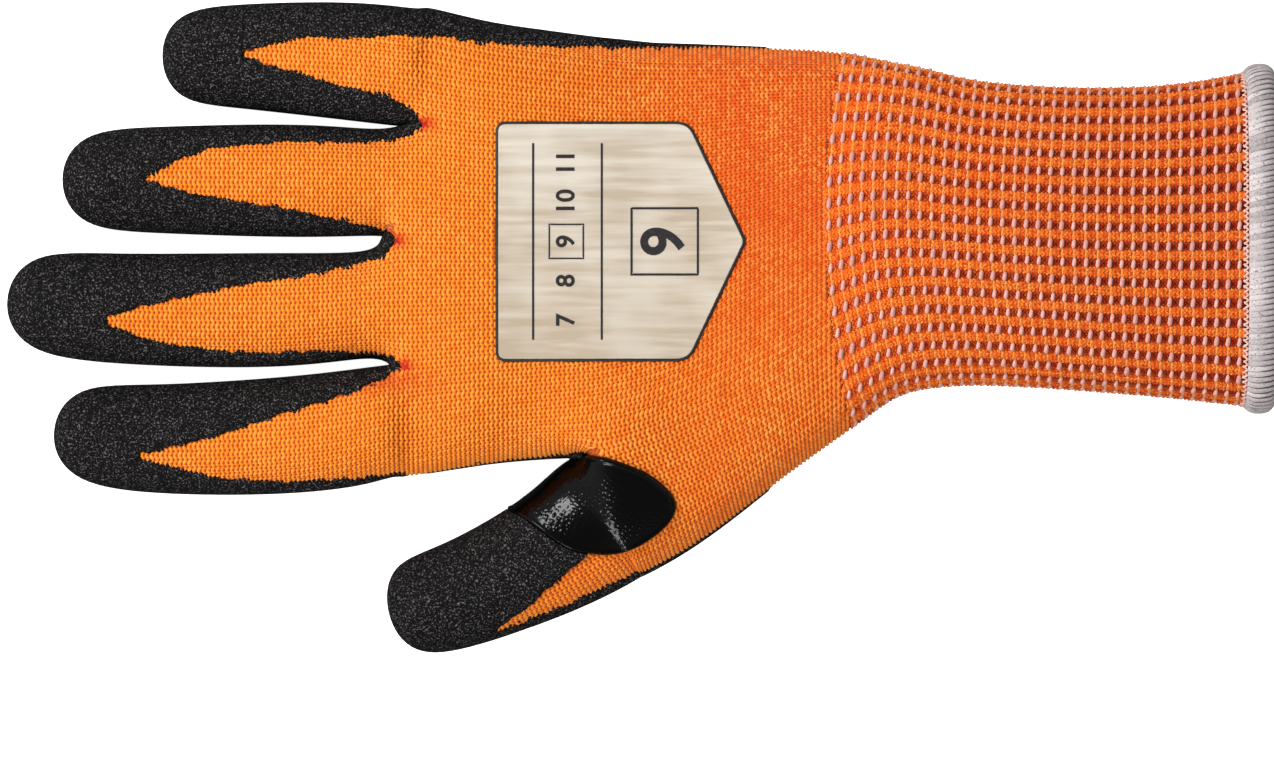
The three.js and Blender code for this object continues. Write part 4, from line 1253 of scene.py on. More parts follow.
def plain_thread(name, light, dark):
    """Textured thread: dull, paler on its crown, with a twist about as long as it is thick. Painted
    shade darkens it where the turned attribute says so, where it turns down into the cloth and over
    the hem's far side, and in small pores along its twist."""
    material, tree = new_material(name)
    place = add(tree, "ShaderNodeTexCoord").outputs["Object"]
    shade = add(tree, "ShaderNodeAttribute", attribute_name="shade").outputs["Fac"]
    twist = add(tree, "ShaderNodeTexNoise", {"Vector": place, "Scale": 2200.0, "Detail": 2.0})
    mixed = add(tree, "ShaderNodeMath", {0: shade, 1: twist.outputs["Fac"]}, operation="MULTIPLY")
    turned = add(tree, "ShaderNodeAttribute", attribute_name="turned").outputs["Fac"]
    pores = add(tree, "ShaderNodeMapRange", {0: twist.outputs["Fac"], 1: 0.55, 2: 0.7, 4: 0.8})
    # Painted shade: the turns and the pores are darkened.
    most = add(tree, "ShaderNodeMath", {0: mixed.outputs[0], 1: turned}, operation="MAXIMUM")
    darker = add(tree, "ShaderNodeMath", {0: most.outputs[0], 1: pores.outputs[0]}, operation="MAXIMUM")
    colour = blend_colour(tree, darker.outputs[0], light, dark)
    bump = add(tree, "ShaderNodeBump", {"Height": twist.outputs["Fac"], "Strength": 0.5, "Distance": 0.00012})
    shader = add(
        tree,
        "ShaderNodeBsdfPrincipled",
        {
            "Base Color": colour,
            "Roughness": 0.75,
            "Specular IOR Level": 0.25,
            "Sheen Weight": 0.3,
            "Normal": bump.outputs[0],
        },
    )
    end_material(tree, shader)
    return material


# Sizes and colours that a user would change


def length_property(name, description, default):
    return FloatProperty(
        name=name, description=description, default=default, unit="LENGTH", min=0, precision=5
    )


def colour_property(name, description, default):
    return FloatVectorProperty(
        name=name, description=description, default=linear(default), size=4, subtype="COLOR", min=0, max=1
    )


class GloveKnit(bpy.types.PropertyGroup):
    """The hand's knit."""

    stitch_height: length_property("Stitch height", "How far a stitch stands off the cloth", 0.00036)
    fullness: FloatProperty(
        name="Fullness", description="Width of a stitch in its place", default=1.0, min=0.2
    )
    body: colour_property("Yarn", "Colour of the yarn", "#ff8e16")
    light: colour_property("Yarn highlight", "Colour of the palest stitches", "#ffb04a")
    # A painted shade colour, darkening the yarn towards the wrist.
    stretched: colour_property("Yarn at wrist", "Colour of the painted shade towards the wrist", "#ee5406")
    gap: colour_property("Between stitches", "Colour of the cloth in the stitches' shadow", "#a83808")
    # A painted shade colour, for the folds between the fingers.
    fold: colour_property("In folds", "Colour deep between the fingers", "#b80c00")


class GloveCoat(bpy.types.PropertyGroup):
    """The foam dip and the smooth patch."""

    thickness: length_property("Thickness", "Thickness of the foam", 0.0008)
    tooth: length_property("Ragged edge", "How far the edge follows single stitches", 0.0009)
    foam: colour_property("Foam", "Colour of the foam", "#070606")
    crumb_highlight: colour_property("Crumb", "Colour of the foam's lit crumbs", "#7c7678")
    patch: colour_property("Patch", "Colour of the smooth patch", "#040303")
    bead: length_property("Patch bead", "How high the patch's edge is raised", 0.0002)


class GloveLabel(bpy.types.PropertyGroup):
    """The transfer label."""

    border: length_property("Border", "Width of the black border", 0.00065)
    film: colour_property("Film", "Colour of the film", "#d8cfc1")
    # A painted shade colour, over the cloth's furrows and towards the thumb's side.
    film_shade: colour_property("Film lines", "Colour of the film over the cloth's furrows", "#b3a28c")
    ink: colour_property("Ink", "Colour of the print", "#120e0f")


class GloveCuff(bpy.types.PropertyGroup):
    """The ribbed cuff and its elastic."""

    pinch: length_property("Pinch", "How far an elastic course draws the ribs in", 0.00022)
    elastic_pitch: length_property("Elastic pitch", "From one elastic course to the next", 0.00252)
    rib: colour_property("Rib", "Colour of the ribs", "#ff740c")
    # A painted shade colour: the ribs darken towards the hem.
    far_rib_shade: colour_property("Far rib", "Colour of the ribs near the hem", "#e84c04")
    # Painted shade colours in the grooves between the ribs, deepening towards the hem.
    groove: colour_property("Groove", "Colour between the ribs", "#b41e00")
    far_groove: colour_property("Far groove", "Colour between the ribs near the hem", "#5c0800")
    band: colour_property("Band", "Colour of the thread across a rib", "#ffaa50")
    elastic: colour_property("Elastic", "Colour of the elastic thread", "#e6b0a6")
    elastic_shadow: colour_property("Elastic shadow", "Colour of its darker turns", "#b4685c")


class GloveHem(bpy.types.PropertyGroup):
    """The overlocked hem."""

    wraps: IntProperty(name="Wraps", description="Threads round the hem", default=145, min=20)
    thread: colour_property("Thread", "Colour of the overlock thread", "#d4caca")
    shadow: colour_property("Thread shadow", "Colour of its darker turns", "#524648")
    chain: colour_property("Chain", "Colour of the chain along the rib", "#f0b8a4")


class GloveStudio(bpy.types.PropertyGroup):
    """The stage."""

    floor: colour_property("Floor", "Colour of the floor", "#f7f7f7")
    key: FloatProperty(name="Key lamp", description="Power of the large lamp", default=11.0, unit="POWER")
    fill: FloatProperty(name="Fill", description="Brightness of the surroundings", default=0.8)
    distance: length_property("Camera distance", "From the camera to the glove", 1.5)


GROUPS = {
    "glove_knit": GloveKnit,
    "glove_coat": GloveCoat,
    "glove_label": GloveLabel,
    "glove_cuff": GloveCuff,
    "glove_hem": GloveHem,
    "glove_studio": GloveStudio,
}


def painted_shade_attributes(points):
    """Painted shade masks: how deep in a fold each point lies, for shade in the crotches, along the
    index finger's edge and by the thumb's crotch, and how near the wrist, for shade that deepens there.
    """
    fold = np.zeros(len(points))
    for crotch in CROTCHES[1:]:
        away = points - (crotch + np.array([2.5, 0, 0]))
        fold = np.maximum(fold, np.exp(-((away[:, 0] / 2.0) ** 2 + (away[:, 1] / 1.5) ** 2)))
    away = points - (CROTCHES[1] + np.array([-3.0, -3.2, 0]))
    fold = np.maximum(fold, 0.5 * np.exp(-((away[:, 0] / 11.0) ** 2 + (away[:, 1] / 2.8) ** 2)))
    away = points - (-58.0, -70.0, 0)
    longways, crossways = (away[:, 0] + away[:, 1]) / 7.0, (away[:, 0] - away[:, 1]) / 3.4
    fold = np.maximum(fold, 0.4 * np.exp(-(longways**2 + crossways**2)))
    # Painted shade: deeper towards the wrist and the little finger's side.
    wrist = smooth((points[:, 0] + 80) / 65) * (0.55 + 0.45 * smooth(points[:, 1] / 60 + 0.75))
    return {"fold": fold, "wrist": wrist}


def stitch_places(shift_wale, shift_course):
    """Where whole-numbered stitches fall on the skin: places, normals, and the steps of one wale and
    one course there."""
    quads, counts = SKIN.quads, SKIN.counts
    triangles = np.concatenate([quads[:, [0, 1, 2]], quads[:, [0, 2, 3]]])
    numbers = np.concatenate([counts[:, [0, 1, 2]], counts[:, [0, 2, 3]]]) - (shift_wale, shift_course)
    corner, d1, d2 = numbers[:, 0], numbers[:, 1] - numbers[:, 0], numbers[:, 2] - numbers[:, 0]
    area = d1[:, 0] * d2[:, 1] - d1[:, 1] * d2[:, 0]
    area = np.where(np.abs(area) < 1e-9, 1e-9, area)
    low = np.ceil(numbers.min(axis=1))
    reach = (numbers.max(axis=1) - low).max(axis=0).astype(int) + 1
    places, normals, wales, courses = [], [], [], []
    for i in range(min(reach[0], 6)):
        for j in range(min(reach[1], 8)):
            off = low + (i, j) - corner
            b = (off[:, 0] * d2[:, 1] - off[:, 1] * d2[:, 0]) / area
            c = (off[:, 1] * d1[:, 0] - off[:, 0] * d1[:, 1]) / area
            a = 1 - b - c
            hit = (a >= 0) & (b > 0) & (c > 0)
            t, w = triangles[hit], np.stack([a, b, c], axis=1)[hit][:, :, None]
            corners = SKIN.points[t]
            places.append((corners * w).sum(axis=1))
            normals.append((SKIN.normals[t] * w).sum(axis=1))
            e1, e2 = corners[:, 1] - corners[:, 0], corners[:, 2] - corners[:, 0]
            scale = area[hit][:, None]
            wales.append((e1 * d2[hit, 1:] - e2 * d1[hit, 1:]) / scale)
            courses.append((e2 * d1[hit, :1] - e1 * d2[hit, :1]) / scale)
    normals = np.concatenate(normals)
    normals /= np.linalg.norm(normals, axis=1, keepdims=True)
    return np.concatenate(places), normals, np.concatenate(wales), np.concatenate(courses)


class GLOVE_OT_knit_hand(bpy.types.Operator):
    """Make the hand's cloth, a closed shell open at the wrist"""

    bl_idname = "glove.knit_hand"
    bl_label = "Knit hand"

    def execute(self, context):
        knit = context.scene.glove_knit
        points, faces = shell_of(SKIN.points, SKIN.normals, SKIN.quads, -WALL, 0.0)
        mesh = make_mesh("hand_cloth", points, faces)
        numbers = np.zeros((len(mesh.loops), 2))
        outer = SKIN.counts.reshape(-1, 2)
        inner = SKIN.counts[:, ::-1].reshape(-1, 2)
        numbers[: len(outer)] = outer
        numbers[len(outer) : len(outer) + len(inner)] = inner
        mesh.uv_layers.new(name="stitches").data.foreach_set("uv", numbers.ravel())
        for name, values in painted_shade_attributes(points).items():
            set_attribute(mesh, name, values)
        material = knit_ground("knitted polyester ground", knit.body, knit.gap, knit.fold)
        finish_piece(bpy.data.objects.new("hand_cloth", mesh), material, "knit_hand")
        return {"FINISHED"}


class GLOVE_OT_stitches(bpy.types.Operator):
    """Lay the knit's stitches on the bare cloth, two slanting legs to each"""

    bl_idname = "glove.stitches"
    bl_label = "Stitches"

    def execute(self, context):
        knit = context.scene.glove_knit
        gathered = []
        for wale, slant in ((0.26, 1), (0.74, -1)):
            places, normals, one_wale, one_course = stitch_places(wale, 0.5)
            bare = (bare_depth(places) < 0.45) & (label_depth(places) > -0.2) & (patch_depth(places) > -0.2)
            bare &= np.linalg.norm(one_wale, axis=1) < LONGEST_WALE
            bare &= np.linalg.norm(one_course, axis=1) < LONGEST_COURSE
            places, normals, one_wale, one_course = (x[bare] for x in (places, normals, one_wale, one_course))
            along = one_wale * 0.5 * slant + one_course * LEG_LEAN
            length = np.linalg.norm(along, axis=1)
            width = np.linalg.norm(one_course, axis=1) * LEG_WIDTH
            height = np.full(len(width), knit.stitch_height / MM)
            size = np.stack([length * LEG_REACH, width, height], axis=1)
            gathered.append((places, along / length[:, None], normals, size))
        points, along, out, size = (np.concatenate(x) for x in zip(*gathered))
        colours = knit.body, knit.light, knit.stretched, knit.fold, knit.light
        yarn = knit_yarn("dyed polyester yarn", *colours, 0.25)
        values = {"Width": knit.fullness, "Unevenness": 0.08, "Seed": 3}
        piece = lay_threads(
            "hand_stitches", points, along, out, size, stitch_leg(), yarn, values, painted_shade_attributes(points)
        )
        finish_piece(piece)
        return {"FINISHED"}


def ragged(points, tooth):
    """How far single stitches carry the dip's edge to and fro, from a fixed pattern of them."""
    cell = np.floor(points[:, :2] / (COURSE, 0.95)).astype(int)
    chance = np.sin(cell[:, 0] * 127.1 + cell[:, 1] * 311.7) * 43758.5453
    chance -= np.floor(chance)
    x, y = points[:, 0], points[:, 1]
    wander = np.sin(x * 0.9 + y * 0.37) * np.sin(y * 0.8 - x * 0.23)
    return (chance - 0.5) * tooth + wander * tooth * 0.35


class GLOVE_OT_coating(bpy.types.Operator):
    """Dip the palm, fingertips and finger sides in foam, thinning to a ragged edge"""

    bl_idname = "glove.coating"
    bl_label = "Foam coating"

    def execute(self, context):
        coat = context.scene.glove_coat

        def field(places):
            return np.minimum(bare_depth(places), patch_depth(places))

        points, normals, triangles = patch_of_skin(field, [(-3.0, 3.0), (-1.2, 1.2)])
        depth = field(points)
        teeth = np.where(patch_depth(points) < 1.5, 0.0, ragged(points, coat.tooth / MM))
        points, normals, triangles = clip(points, normals, triangles, depth + teeth)
        depth = field(points)
        full = coat.thickness / MM + 0.3
        high = 0.2 + (full - 0.2) * smooth((depth + 0.3) / 1.6)
        beside_patch = patch_depth(points) < 1.2
        high = np.where(beside_patch, full, high)
        shell, faces = shell_of(points, normals, triangles, 0.04, high)
        mesh = make_mesh("foam_coating", shell, faces)
        foam = sandy_foam(coat.foam, coat.crumb_highlight)
        finish_piece(bpy.data.objects.new("foam_coating", mesh), foam, "palm_coating")
        return {"FINISHED"}


def patch_bumps(points):
    """The stitches under the smooth patch: rows of small uneven bumps, in millimetres."""
    x, y = points[:, 0], points[:, 1]
    across = y + 0.3 * np.sin(x * 0.55) + 0.2 * np.sin(x * 1.7 + y)
    along = x + 0.35 * np.sin(y * 0.8)
    turn = 2 * math.pi
    rows = np.cos(across * turn / 1.7) * np.cos(along * turn / 1.5 + np.floor(across / 1.7) * 2.1)
    strength = 0.5 + 0.5 * np.sin(x * 0.35 + 1.3) * np.sin(y * 0.42 - 0.4)
    return np.maximum(rows, 0) ** 2 * (0.02 + 0.16 * strength**2)


class GLOVE_OT_patch(bpy.types.Operator):
    """Lay the smooth patch over the thumb's crotch, with its raised edge and the stitches under it"""

    bl_idname = "glove.patch"
    bl_label = "Thumb patch"

    def execute(self, context):
        coat = context.scene.glove_coat

        def field(places):
            return -patch_depth(places)

        points, normals, triangles = patch_of_skin(field, [(-1.5, 99), (-0.8, 99), (-0.6, 99)])
        points, normals, triangles = clip(points, normals, triangles, field(points))
        depth = field(points)
        bead = np.exp(-(((depth - 0.55) / 0.45) ** 2)) * coat.bead / MM
        bumps = patch_bumps(points) * smooth((depth - 1.0) / 1.5)
        high = 0.3 + 0.85 * smooth((depth + 0.35) / 0.9) + bead + bumps
        shell, faces = shell_of(points, normals, triangles, 0.04, high)
        mesh = make_mesh("crotch_patch", shell, faces)
        dip = smooth_dip(coat.patch)
        finish_piece(bpy.data.objects.new("crotch_patch", mesh), dip, "thumb_crotch_patch")
        return {"FINISHED"}


LABEL_BASE, LABEL_TOP = 0.08, 0.62

# The print: the glove's own size, the strip of sizes beside it and the two rules
SIZES, OWN_SIZE = ("7", "8", "9", "10", "11"), "9"
OWN_PLACE, OWN_HEIGHT = LABEL_END + 37.0, 13.0
STRIP_PLACE, SIZE_HEIGHT, SIZE_PITCH = LABEL_END + 15.5, 5.6, 8.6
RULES = LABEL_END + 8.25, LABEL_END + 23.25


def box_round(place, half_long, half_wide):
    """The corners of a box on the label's middle line."""
    near, far = place - half_long, place + half_long
    return [(near, -half_wide), (far, -half_wide), (far, half_wide), (near, half_wide)]


def label_text(text, size, centre, top):
    """Digits laid on the label, read towards the little finger."""
    curve = bpy.data.curves.new("digits", "FONT")
    curve.body, curve.size, curve.align_x, curve.align_y = text, size, "CENTER", "CENTER"
    curve.extrude = 0.04
    curve.offset = 0.02 * size
    holder = bpy.data.objects.new("digits", curve)
    bpy.context.scene.collection.objects.link(holder)
    graph = bpy.context.evaluated_depsgraph_get()
    mesh = bpy.data.meshes.new_from_object(holder.evaluated_get(graph), depsgraph=graph)
    points = np.array([v.co for v in mesh.vertices])
    faces = [list(p.vertices) for p in mesh.polygons]
    bpy.data.objects.remove(holder)
    bpy.data.meshes.remove(mesh)
    turned = np.stack([-points[:, 1], points[:, 0]], axis=1) + centre
    return lay_on(turned, points[:, 2], top), faces


def lay_on(places, heights, top):
    """Sets flat places on the label's film at their heights above it."""
    result = []
    for (x, y), z in zip(places, heights):
        hit = top.ray_cast(Vector((x, y, 80)), Vector((0, 0, -1)))[0]
        result.append((x, y, (hit.z if hit else 0) + z + 0.03))
    return np.array(result)


def ring_strip(outline, inset, top):
    """A flat strip of even width along a closed outline."""
    outline = np.asarray(outline)
    ahead = np.roll(outline, -1, axis=0) - np.roll(outline, 1, axis=0)
    ahead /= np.linalg.norm(ahead, axis=1, keepdims=True)
    inward = np.stack([-ahead[:, 1], ahead[:, 0]], axis=1)
    count = len(outline)
    steps = (0.02, -0.1), (0.02, 0.05), (inset, 0.05), (inset, -0.1)
    rings = [lay_on(outline + inward * width, np.full(count, height), top) for width, height in steps]
    faces = []
    for r in range(3):
        for i in range(count):
            j = (i + 1) % count
            faces.append([r * count + i, r * count + j, (r + 1) * count + j, (r + 1) * count + i])
    return np.concatenate(rings), faces


def resample(outline, step):
    """A closed outline with a point every step."""
    outline = np.asarray(outline)
    closed = np.concatenate([outline, outline[:1]])
    lengths = np.concatenate([[0], np.cumsum(np.linalg.norm(np.diff(closed, axis=0), axis=1))])
    marks = np.linspace(0, lengths[-1], int(lengths[-1] / step), endpoint=False)
    return np.stack([np.interp(marks, lengths, closed[:, k]) for k in range(2)], axis=1)


class GLOVE_OT_label(bpy.types.Operator):
    """Press the label on the back of the hand, with its border and a plain strip of sizes"""

    bl_idname = "glove.label"
    bl_label = "Back label"

    def execute(self, context):
        label = context.scene.glove_label

        def field(places):
            return -label_depth(places)

        rim = label.border / MM
        sheet = patch_of_skin(field, [(-2.0, 99), (-0.8, 2.0), (-0.4, 1.4)])
        sheet = clip(*sheet, field(sheet[0]))
        film, ink = pressed_film(label.film, label.film_shade), label_ink(label.ink)
        points, normals, triangles = clip(*sheet, field(sheet[0]) - rim)
        shell, faces = shell_of(points, normals, triangles, LABEL_BASE, LABEL_TOP)
        mesh = make_mesh("label_film", shell, faces)
        finish_piece(bpy.data.objects.new("label_film", mesh), film, "back_label")
        top = BVHTree.FromPolygons((points + normals * LABEL_TOP).tolist(), triangles.tolist())

        points, normals, triangles = clip(*sheet, rim - field(sheet[0]))
        high = LABEL_BASE + 0.15 + (LABEL_TOP - LABEL_BASE - 0.13) * smooth((field(points) + 0.1) / 0.35)
        shell, faces = shell_of(points, normals, triangles, LABEL_BASE, high)
        mesh = make_mesh("label_border", shell, faces)
        finish_piece(bpy.data.objects.new("label_border", mesh), ink)

        parts = [label_text(OWN_SIZE, OWN_HEIGHT, (OWN_PLACE, 0.0), top)]
        for i, number in enumerate(SIZES):
            place = STRIP_PLACE, (i - SIZES.index(OWN_SIZE)) * SIZE_PITCH
            parts.append(label_text(number, SIZE_HEIGHT, place, top))
        parts.append(ring_strip(resample(box_round(OWN_PLACE, 7.5, 7.5), 0.7), 0.5, top))
        parts.append(ring_strip(resample(box_round(STRIP_PLACE, 3.9, 3.9), 0.7), 0.35, top))
        for place in RULES:
            parts.append(ring_strip(resample(box_round(place, 0.25, 21.5), 0.25), 0.24, top))
        points, faces = join_parts(parts)
        mesh = make_mesh("label_print", points, faces)
        mesh.polygons.foreach_set("use_smooth", np.zeros(len(mesh.polygons), bool))
        finish_piece(bpy.data.objects.new("label_print", mesh), ink)
        return {"FINISHED"}


def join_parts(parts):
    points, faces = [], []
    for places, polygons in parts:
        start = sum(len(p) for p in points)
        points.append(places)
        faces += [[i + start for i in polygon] for polygon in polygons]
    return np.concatenate(points), faces


# Cuff


def spline_weights(t):
    second = 3 * t**3 - 6 * t**2 + 4
    third = -3 * t**3 + 3 * t**2 + 3 * t + 1
    return np.stack([(1 - t) ** 3, second, third, t**3], axis=-1) / 6


RING_SAMPLES = 480


def cuff_curves():
    """The cuff's control rows, with one more beyond the mouth."""
    loops = np.array([CONTROL.points[NET.loop(ring)[0]] for ring in CUFF_NET])
    return np.concatenate([loops, [2 * loops[-1] - loops[-2]]])


CUFF_CONTROL = cuff_curves()
LAST_ROW = len(CUFF_ROWS)


def cuff_rings(rows, shares):
    """Places on the cuff's smooth surface at the given rows, each at even shares of its girth, with
    their outward directions."""
    rows, shares = np.asarray(rows, float), np.asarray(shares, float)
    columns = CUFF_CONTROL.shape[1]
    at = np.arange(RING_SAMPLES) * columns / RING_SAMPLES
    whole = np.floor(at).astype(int)
    across = spline_weights(at - whole)
    start = np.clip(np.floor(rows).astype(int), 0, LAST_ROW - 1)
    down = spline_weights(rows - start)
    smooth_columns = sum(CUFF_CONTROL[:, (whole + j - 1) % columns] * across[:, j, None] for j in range(4))
    rings = sum(smooth_columns[start + i] * down[:, i, None, None] for i in range(4))
    places, outward = [], []
    for ring in rings:
        closed = np.concatenate([ring, ring[:1]])
        lengths = np.concatenate([[0], np.cumsum(np.linalg.norm(np.diff(closed, axis=0), axis=1))])
        marks = (shares % 1) * lengths[-1]
        places.append(np.stack([np.interp(marks, lengths, closed[:, k]) for k in range(3)], axis=1))
        tangent = np.roll(places[-1], -1, axis=0) - np.roll(places[-1], 1, axis=0)
        out = np.stack([np.zeros(len(tangent)), -tangent[:, 2], tangent[:, 1]], axis=1)
        outward.append(out / np.linalg.norm(out, axis=1, keepdims=True))
    return np.array(places), np.array(outward)


def cuff_scale():
    """Row numbers of the cuff against distances from the wrist, along the middle of its back."""
    rows = np.linspace(0, LAST_ROW, 161)
    places, _ = cuff_rings(rows, [0.25, 0.5, 0.75, 0.0])
    steps = np.linalg.norm(np.diff(places, axis=0), axis=2).mean(axis=1)
    return rows, np.concatenate([[0], np.cumsum(steps)])


CUFF_SCALE = cuff_scale()
FIRST_COURSE = 0.9


def row_at(distance):
    return np.interp(distance, CUFF_SCALE[1], CUFF_SCALE[0])


def rib_share(rows):
    """The ribs flatten where the cuff stretches over the heel of the hand."""
    return np.minimum(1, 0.35 + 0.65 * np.asarray(rows) / (LAST_ROW / 2))


CREST_POWER = 1.5


def crest_of(phase):
    """A rib's round top, from 0 in the groove to 1: phase is 0 on the crest."""
    return np.abs(np.cos(math.pi * np.asarray(phase))) ** CREST_POWER


def elastic_of(beat):
    """1 on an elastic course and 0 between two."""
    return (0.5 + 0.5 * np.cos(2 * math.pi * np.asarray(beat))) ** 6


def rib_tree():
    """Raises ribs on a plain tube, and draws them in along each elastic course."""
    tree = bpy.data.node_groups.new("ribs", "GeometryNodeTree")
    socket = tree.interface.new_socket
    socket("Geometry", in_out="INPUT", socket_type="NodeSocketGeometry")
    socket("Rib depth", in_out="INPUT", socket_type="NodeSocketFloat").default_value = 0.0009
    socket("Groove depth", in_out="INPUT", socket_type="NodeSocketFloat").default_value = 0.0002
    socket("Pinch", in_out="INPUT", socket_type="NodeSocketFloat").default_value = 0.0002
    socket("Material", in_out="INPUT", socket_type="NodeSocketMaterial")
    socket("Geometry", in_out="OUTPUT", socket_type="NodeSocketGeometry")
    given = add(tree, "NodeGroupInput").outputs
    read = lambda label, kind="FLOAT": add(
        tree, "GeometryNodeInputNamedAttribute", {"Name": label}, data_type=kind
    ).outputs[0]
    math_node = lambda operation, *values: add(
        tree, "ShaderNodeMath", enumerate(values), operation=operation
    ).outputs[0]
    turn = math_node("COSINE", math_node("MULTIPLY", read("phase"), math.pi))
    crest = math_node("POWER", math_node("ABSOLUTE", turn), CREST_POWER)
    beat = math_node("COSINE", math_node("MULTIPLY", read("beat"), 2 * math.pi))
    elastic = math_node("POWER", math_node("MULTIPLY_ADD", beat, 0.5, 0.5), 6.0)
    depth = math_node("ADD", given["Rib depth"], given["Groove depth"])
    raised = math_node("SUBTRACT", math_node("MULTIPLY", crest, depth), given["Groove depth"])
    drawn = math_node("MULTIPLY", math_node("MULTIPLY", elastic, crest), given["Pinch"])
    height = math_node("MULTIPLY", math_node("SUBTRACT", raised, drawn), read("share"))
    offset = add(
        tree, "ShaderNodeVectorMath", {0: read("out", "FLOAT_VECTOR"), "Scale": height}, operation="SCALE"
    )
    moved = add(tree, "GeometryNodeSetPosition", {"Geometry": given["Geometry"], "Offset": offset.outputs[0]})
    store = lambda geometry, label, value: add(
        tree, "GeometryNodeStoreNamedAttribute", {
            "Geometry": geometry, "Name": label, "Value": value
        }, data_type="FLOAT"
    ).outputs[0]
    marked = store(store(moved.outputs[0], "crest", crest), "elastic", elastic)
    real = add(tree, "GeometryNodeRealizeInstances", {"Geometry": marked})
    dyed = add(tree, "GeometryNodeSetMaterial", {"Geometry": real.outputs[0], "Material": given["Material"]})
    add(tree, "NodeGroupOutput", {"Geometry": dyed.outputs[0]})
    return tree


RIB_COLUMNS = [0.0, 0.16, 0.3, 0.41, 0.5, 0.59, 0.7, 0.84]
ROWS_PER_COURSE = 4


def grid_faces(rows, columns):
    """Quads of a tube of rings, facing outwards."""
    i, j = np.meshgrid(np.arange(rows - 1), np.arange(columns), indexing="ij")
    i, j = i.ravel(), j.ravel()
    n = (j + 1) % columns
    return np.stack([i * columns + j, (i + 1) * columns + j, (i + 1) * columns + n, i * columns + n], axis=1)


class GLOVE_OT_cuff(bpy.types.Operator):
    """Raise the cuff's ribs on a tube that is open at both ends"""

    bl_idname = "glove.cuff"
    bl_label = "Ribbed cuff"

    def execute(self, context):
        cuff = context.scene.glove_cuff
        pitch = cuff.elastic_pitch / MM
        length = CUFF_SCALE[1][-1]
        distances = np.linspace(0.1, length, int(length / pitch * ROWS_PER_COURSE))
        rows = row_at(distances)
        phases = np.array([(k + c) for k in range(RIB_COUNT) for c in RIB_COLUMNS])
        outer, outward = cuff_rings(rows, phases / RIB_COUNT)
        inner_rows = row_at(np.linspace(0.1, length, 24))
        inner, inward = cuff_rings(inner_rows, phases / RIB_COUNT)
        inner = inner - inward * CUFF_WALL
        count = len(phases)
        outer_faces = grid_faces(len(rows), count)
        inner_faces = grid_faces(len(inner_rows), count)[:, ::-1] + outer.shape[0] * count
        last, inner_start = (len(rows) - 1) * count, outer.shape[0] * count
        inner_last = inner_start + (len(inner_rows) - 1) * count
        j = np.arange(count)
        n = (j + 1) % count
        lips = [np.stack([j, n, inner_start + n, inner_start + j], axis=1)]
        lips.append(np.stack([last + n, last + j, inner_last + j, inner_last + n], axis=1))
        faces = np.concatenate([outer_faces, inner_faces, *lips])
        mesh = make_mesh("cuff_ribs", np.concatenate([outer.reshape(-1, 3), inner.reshape(-1, 3)]), faces)
        spare = inner.shape[0] * count
        beats = np.repeat((distances - FIRST_COURSE) / pitch, count)
        set_attribute(mesh, "phase", np.concatenate([np.tile(phases, len(rows)), np.zeros(spare)]))
        set_attribute(mesh, "beat", np.concatenate([beats, np.full(spare, 0.5)]))
        set_attribute(mesh, "share", np.concatenate([np.repeat(rib_share(rows), count), np.zeros(spare)]))
        set_attribute(mesh, "out", np.concatenate([outward.reshape(-1, 3), inward.reshape(-1, 3)]))
        piece = bpy.data.objects.new("cuff_ribs", mesh)
        knit = rib_knit(cuff.rib, cuff.groove, cuff.far_groove, cuff.band)
        values = {
            "Rib depth": RIB_DEPTH * MM,
            "Groove depth": GROOVE_DEPTH * MM,
            "Pinch": cuff.pinch,
            "Material": knit,
        }
        bake_nodes(piece, rib_tree(), values)
        finish_piece(piece, None, "ribbed_cuff")
        return {"FINISHED"}


def rib_places(distances, phases, lift=0.0, pitch=2.52, pinch=0.22):
    """Places on the ribs: every phase at every distance, with outward and lengthwise directions."""
    rows = row_at(distances)
    places, outward = cuff_rings(rows, np.asarray(phases) / RIB_COUNT)
    beyond, _ = cuff_rings(row_at(np.asarray(distances) + 0.5), np.asarray(phases) / RIB_COUNT)
    lengthwise = beyond - places
    lengthwise /= np.linalg.norm(lengthwise, axis=2, keepdims=True)
    crest = crest_of(phases)[None, :]
    beat = (np.asarray(distances) - FIRST_COURSE) / pitch
    raised = crest * (RIB_DEPTH + GROOVE_DEPTH) - GROOVE_DEPTH
    drawn = elastic_of(beat)[:, None] * crest * pinch
    height = (raised - drawn) * rib_share(rows)[:, None]
    places = places + outward * (height + lift)[:, :, None]
    return places.reshape(-1, 3), outward.reshape(-1, 3), lengthwise.reshape(-1, 3)


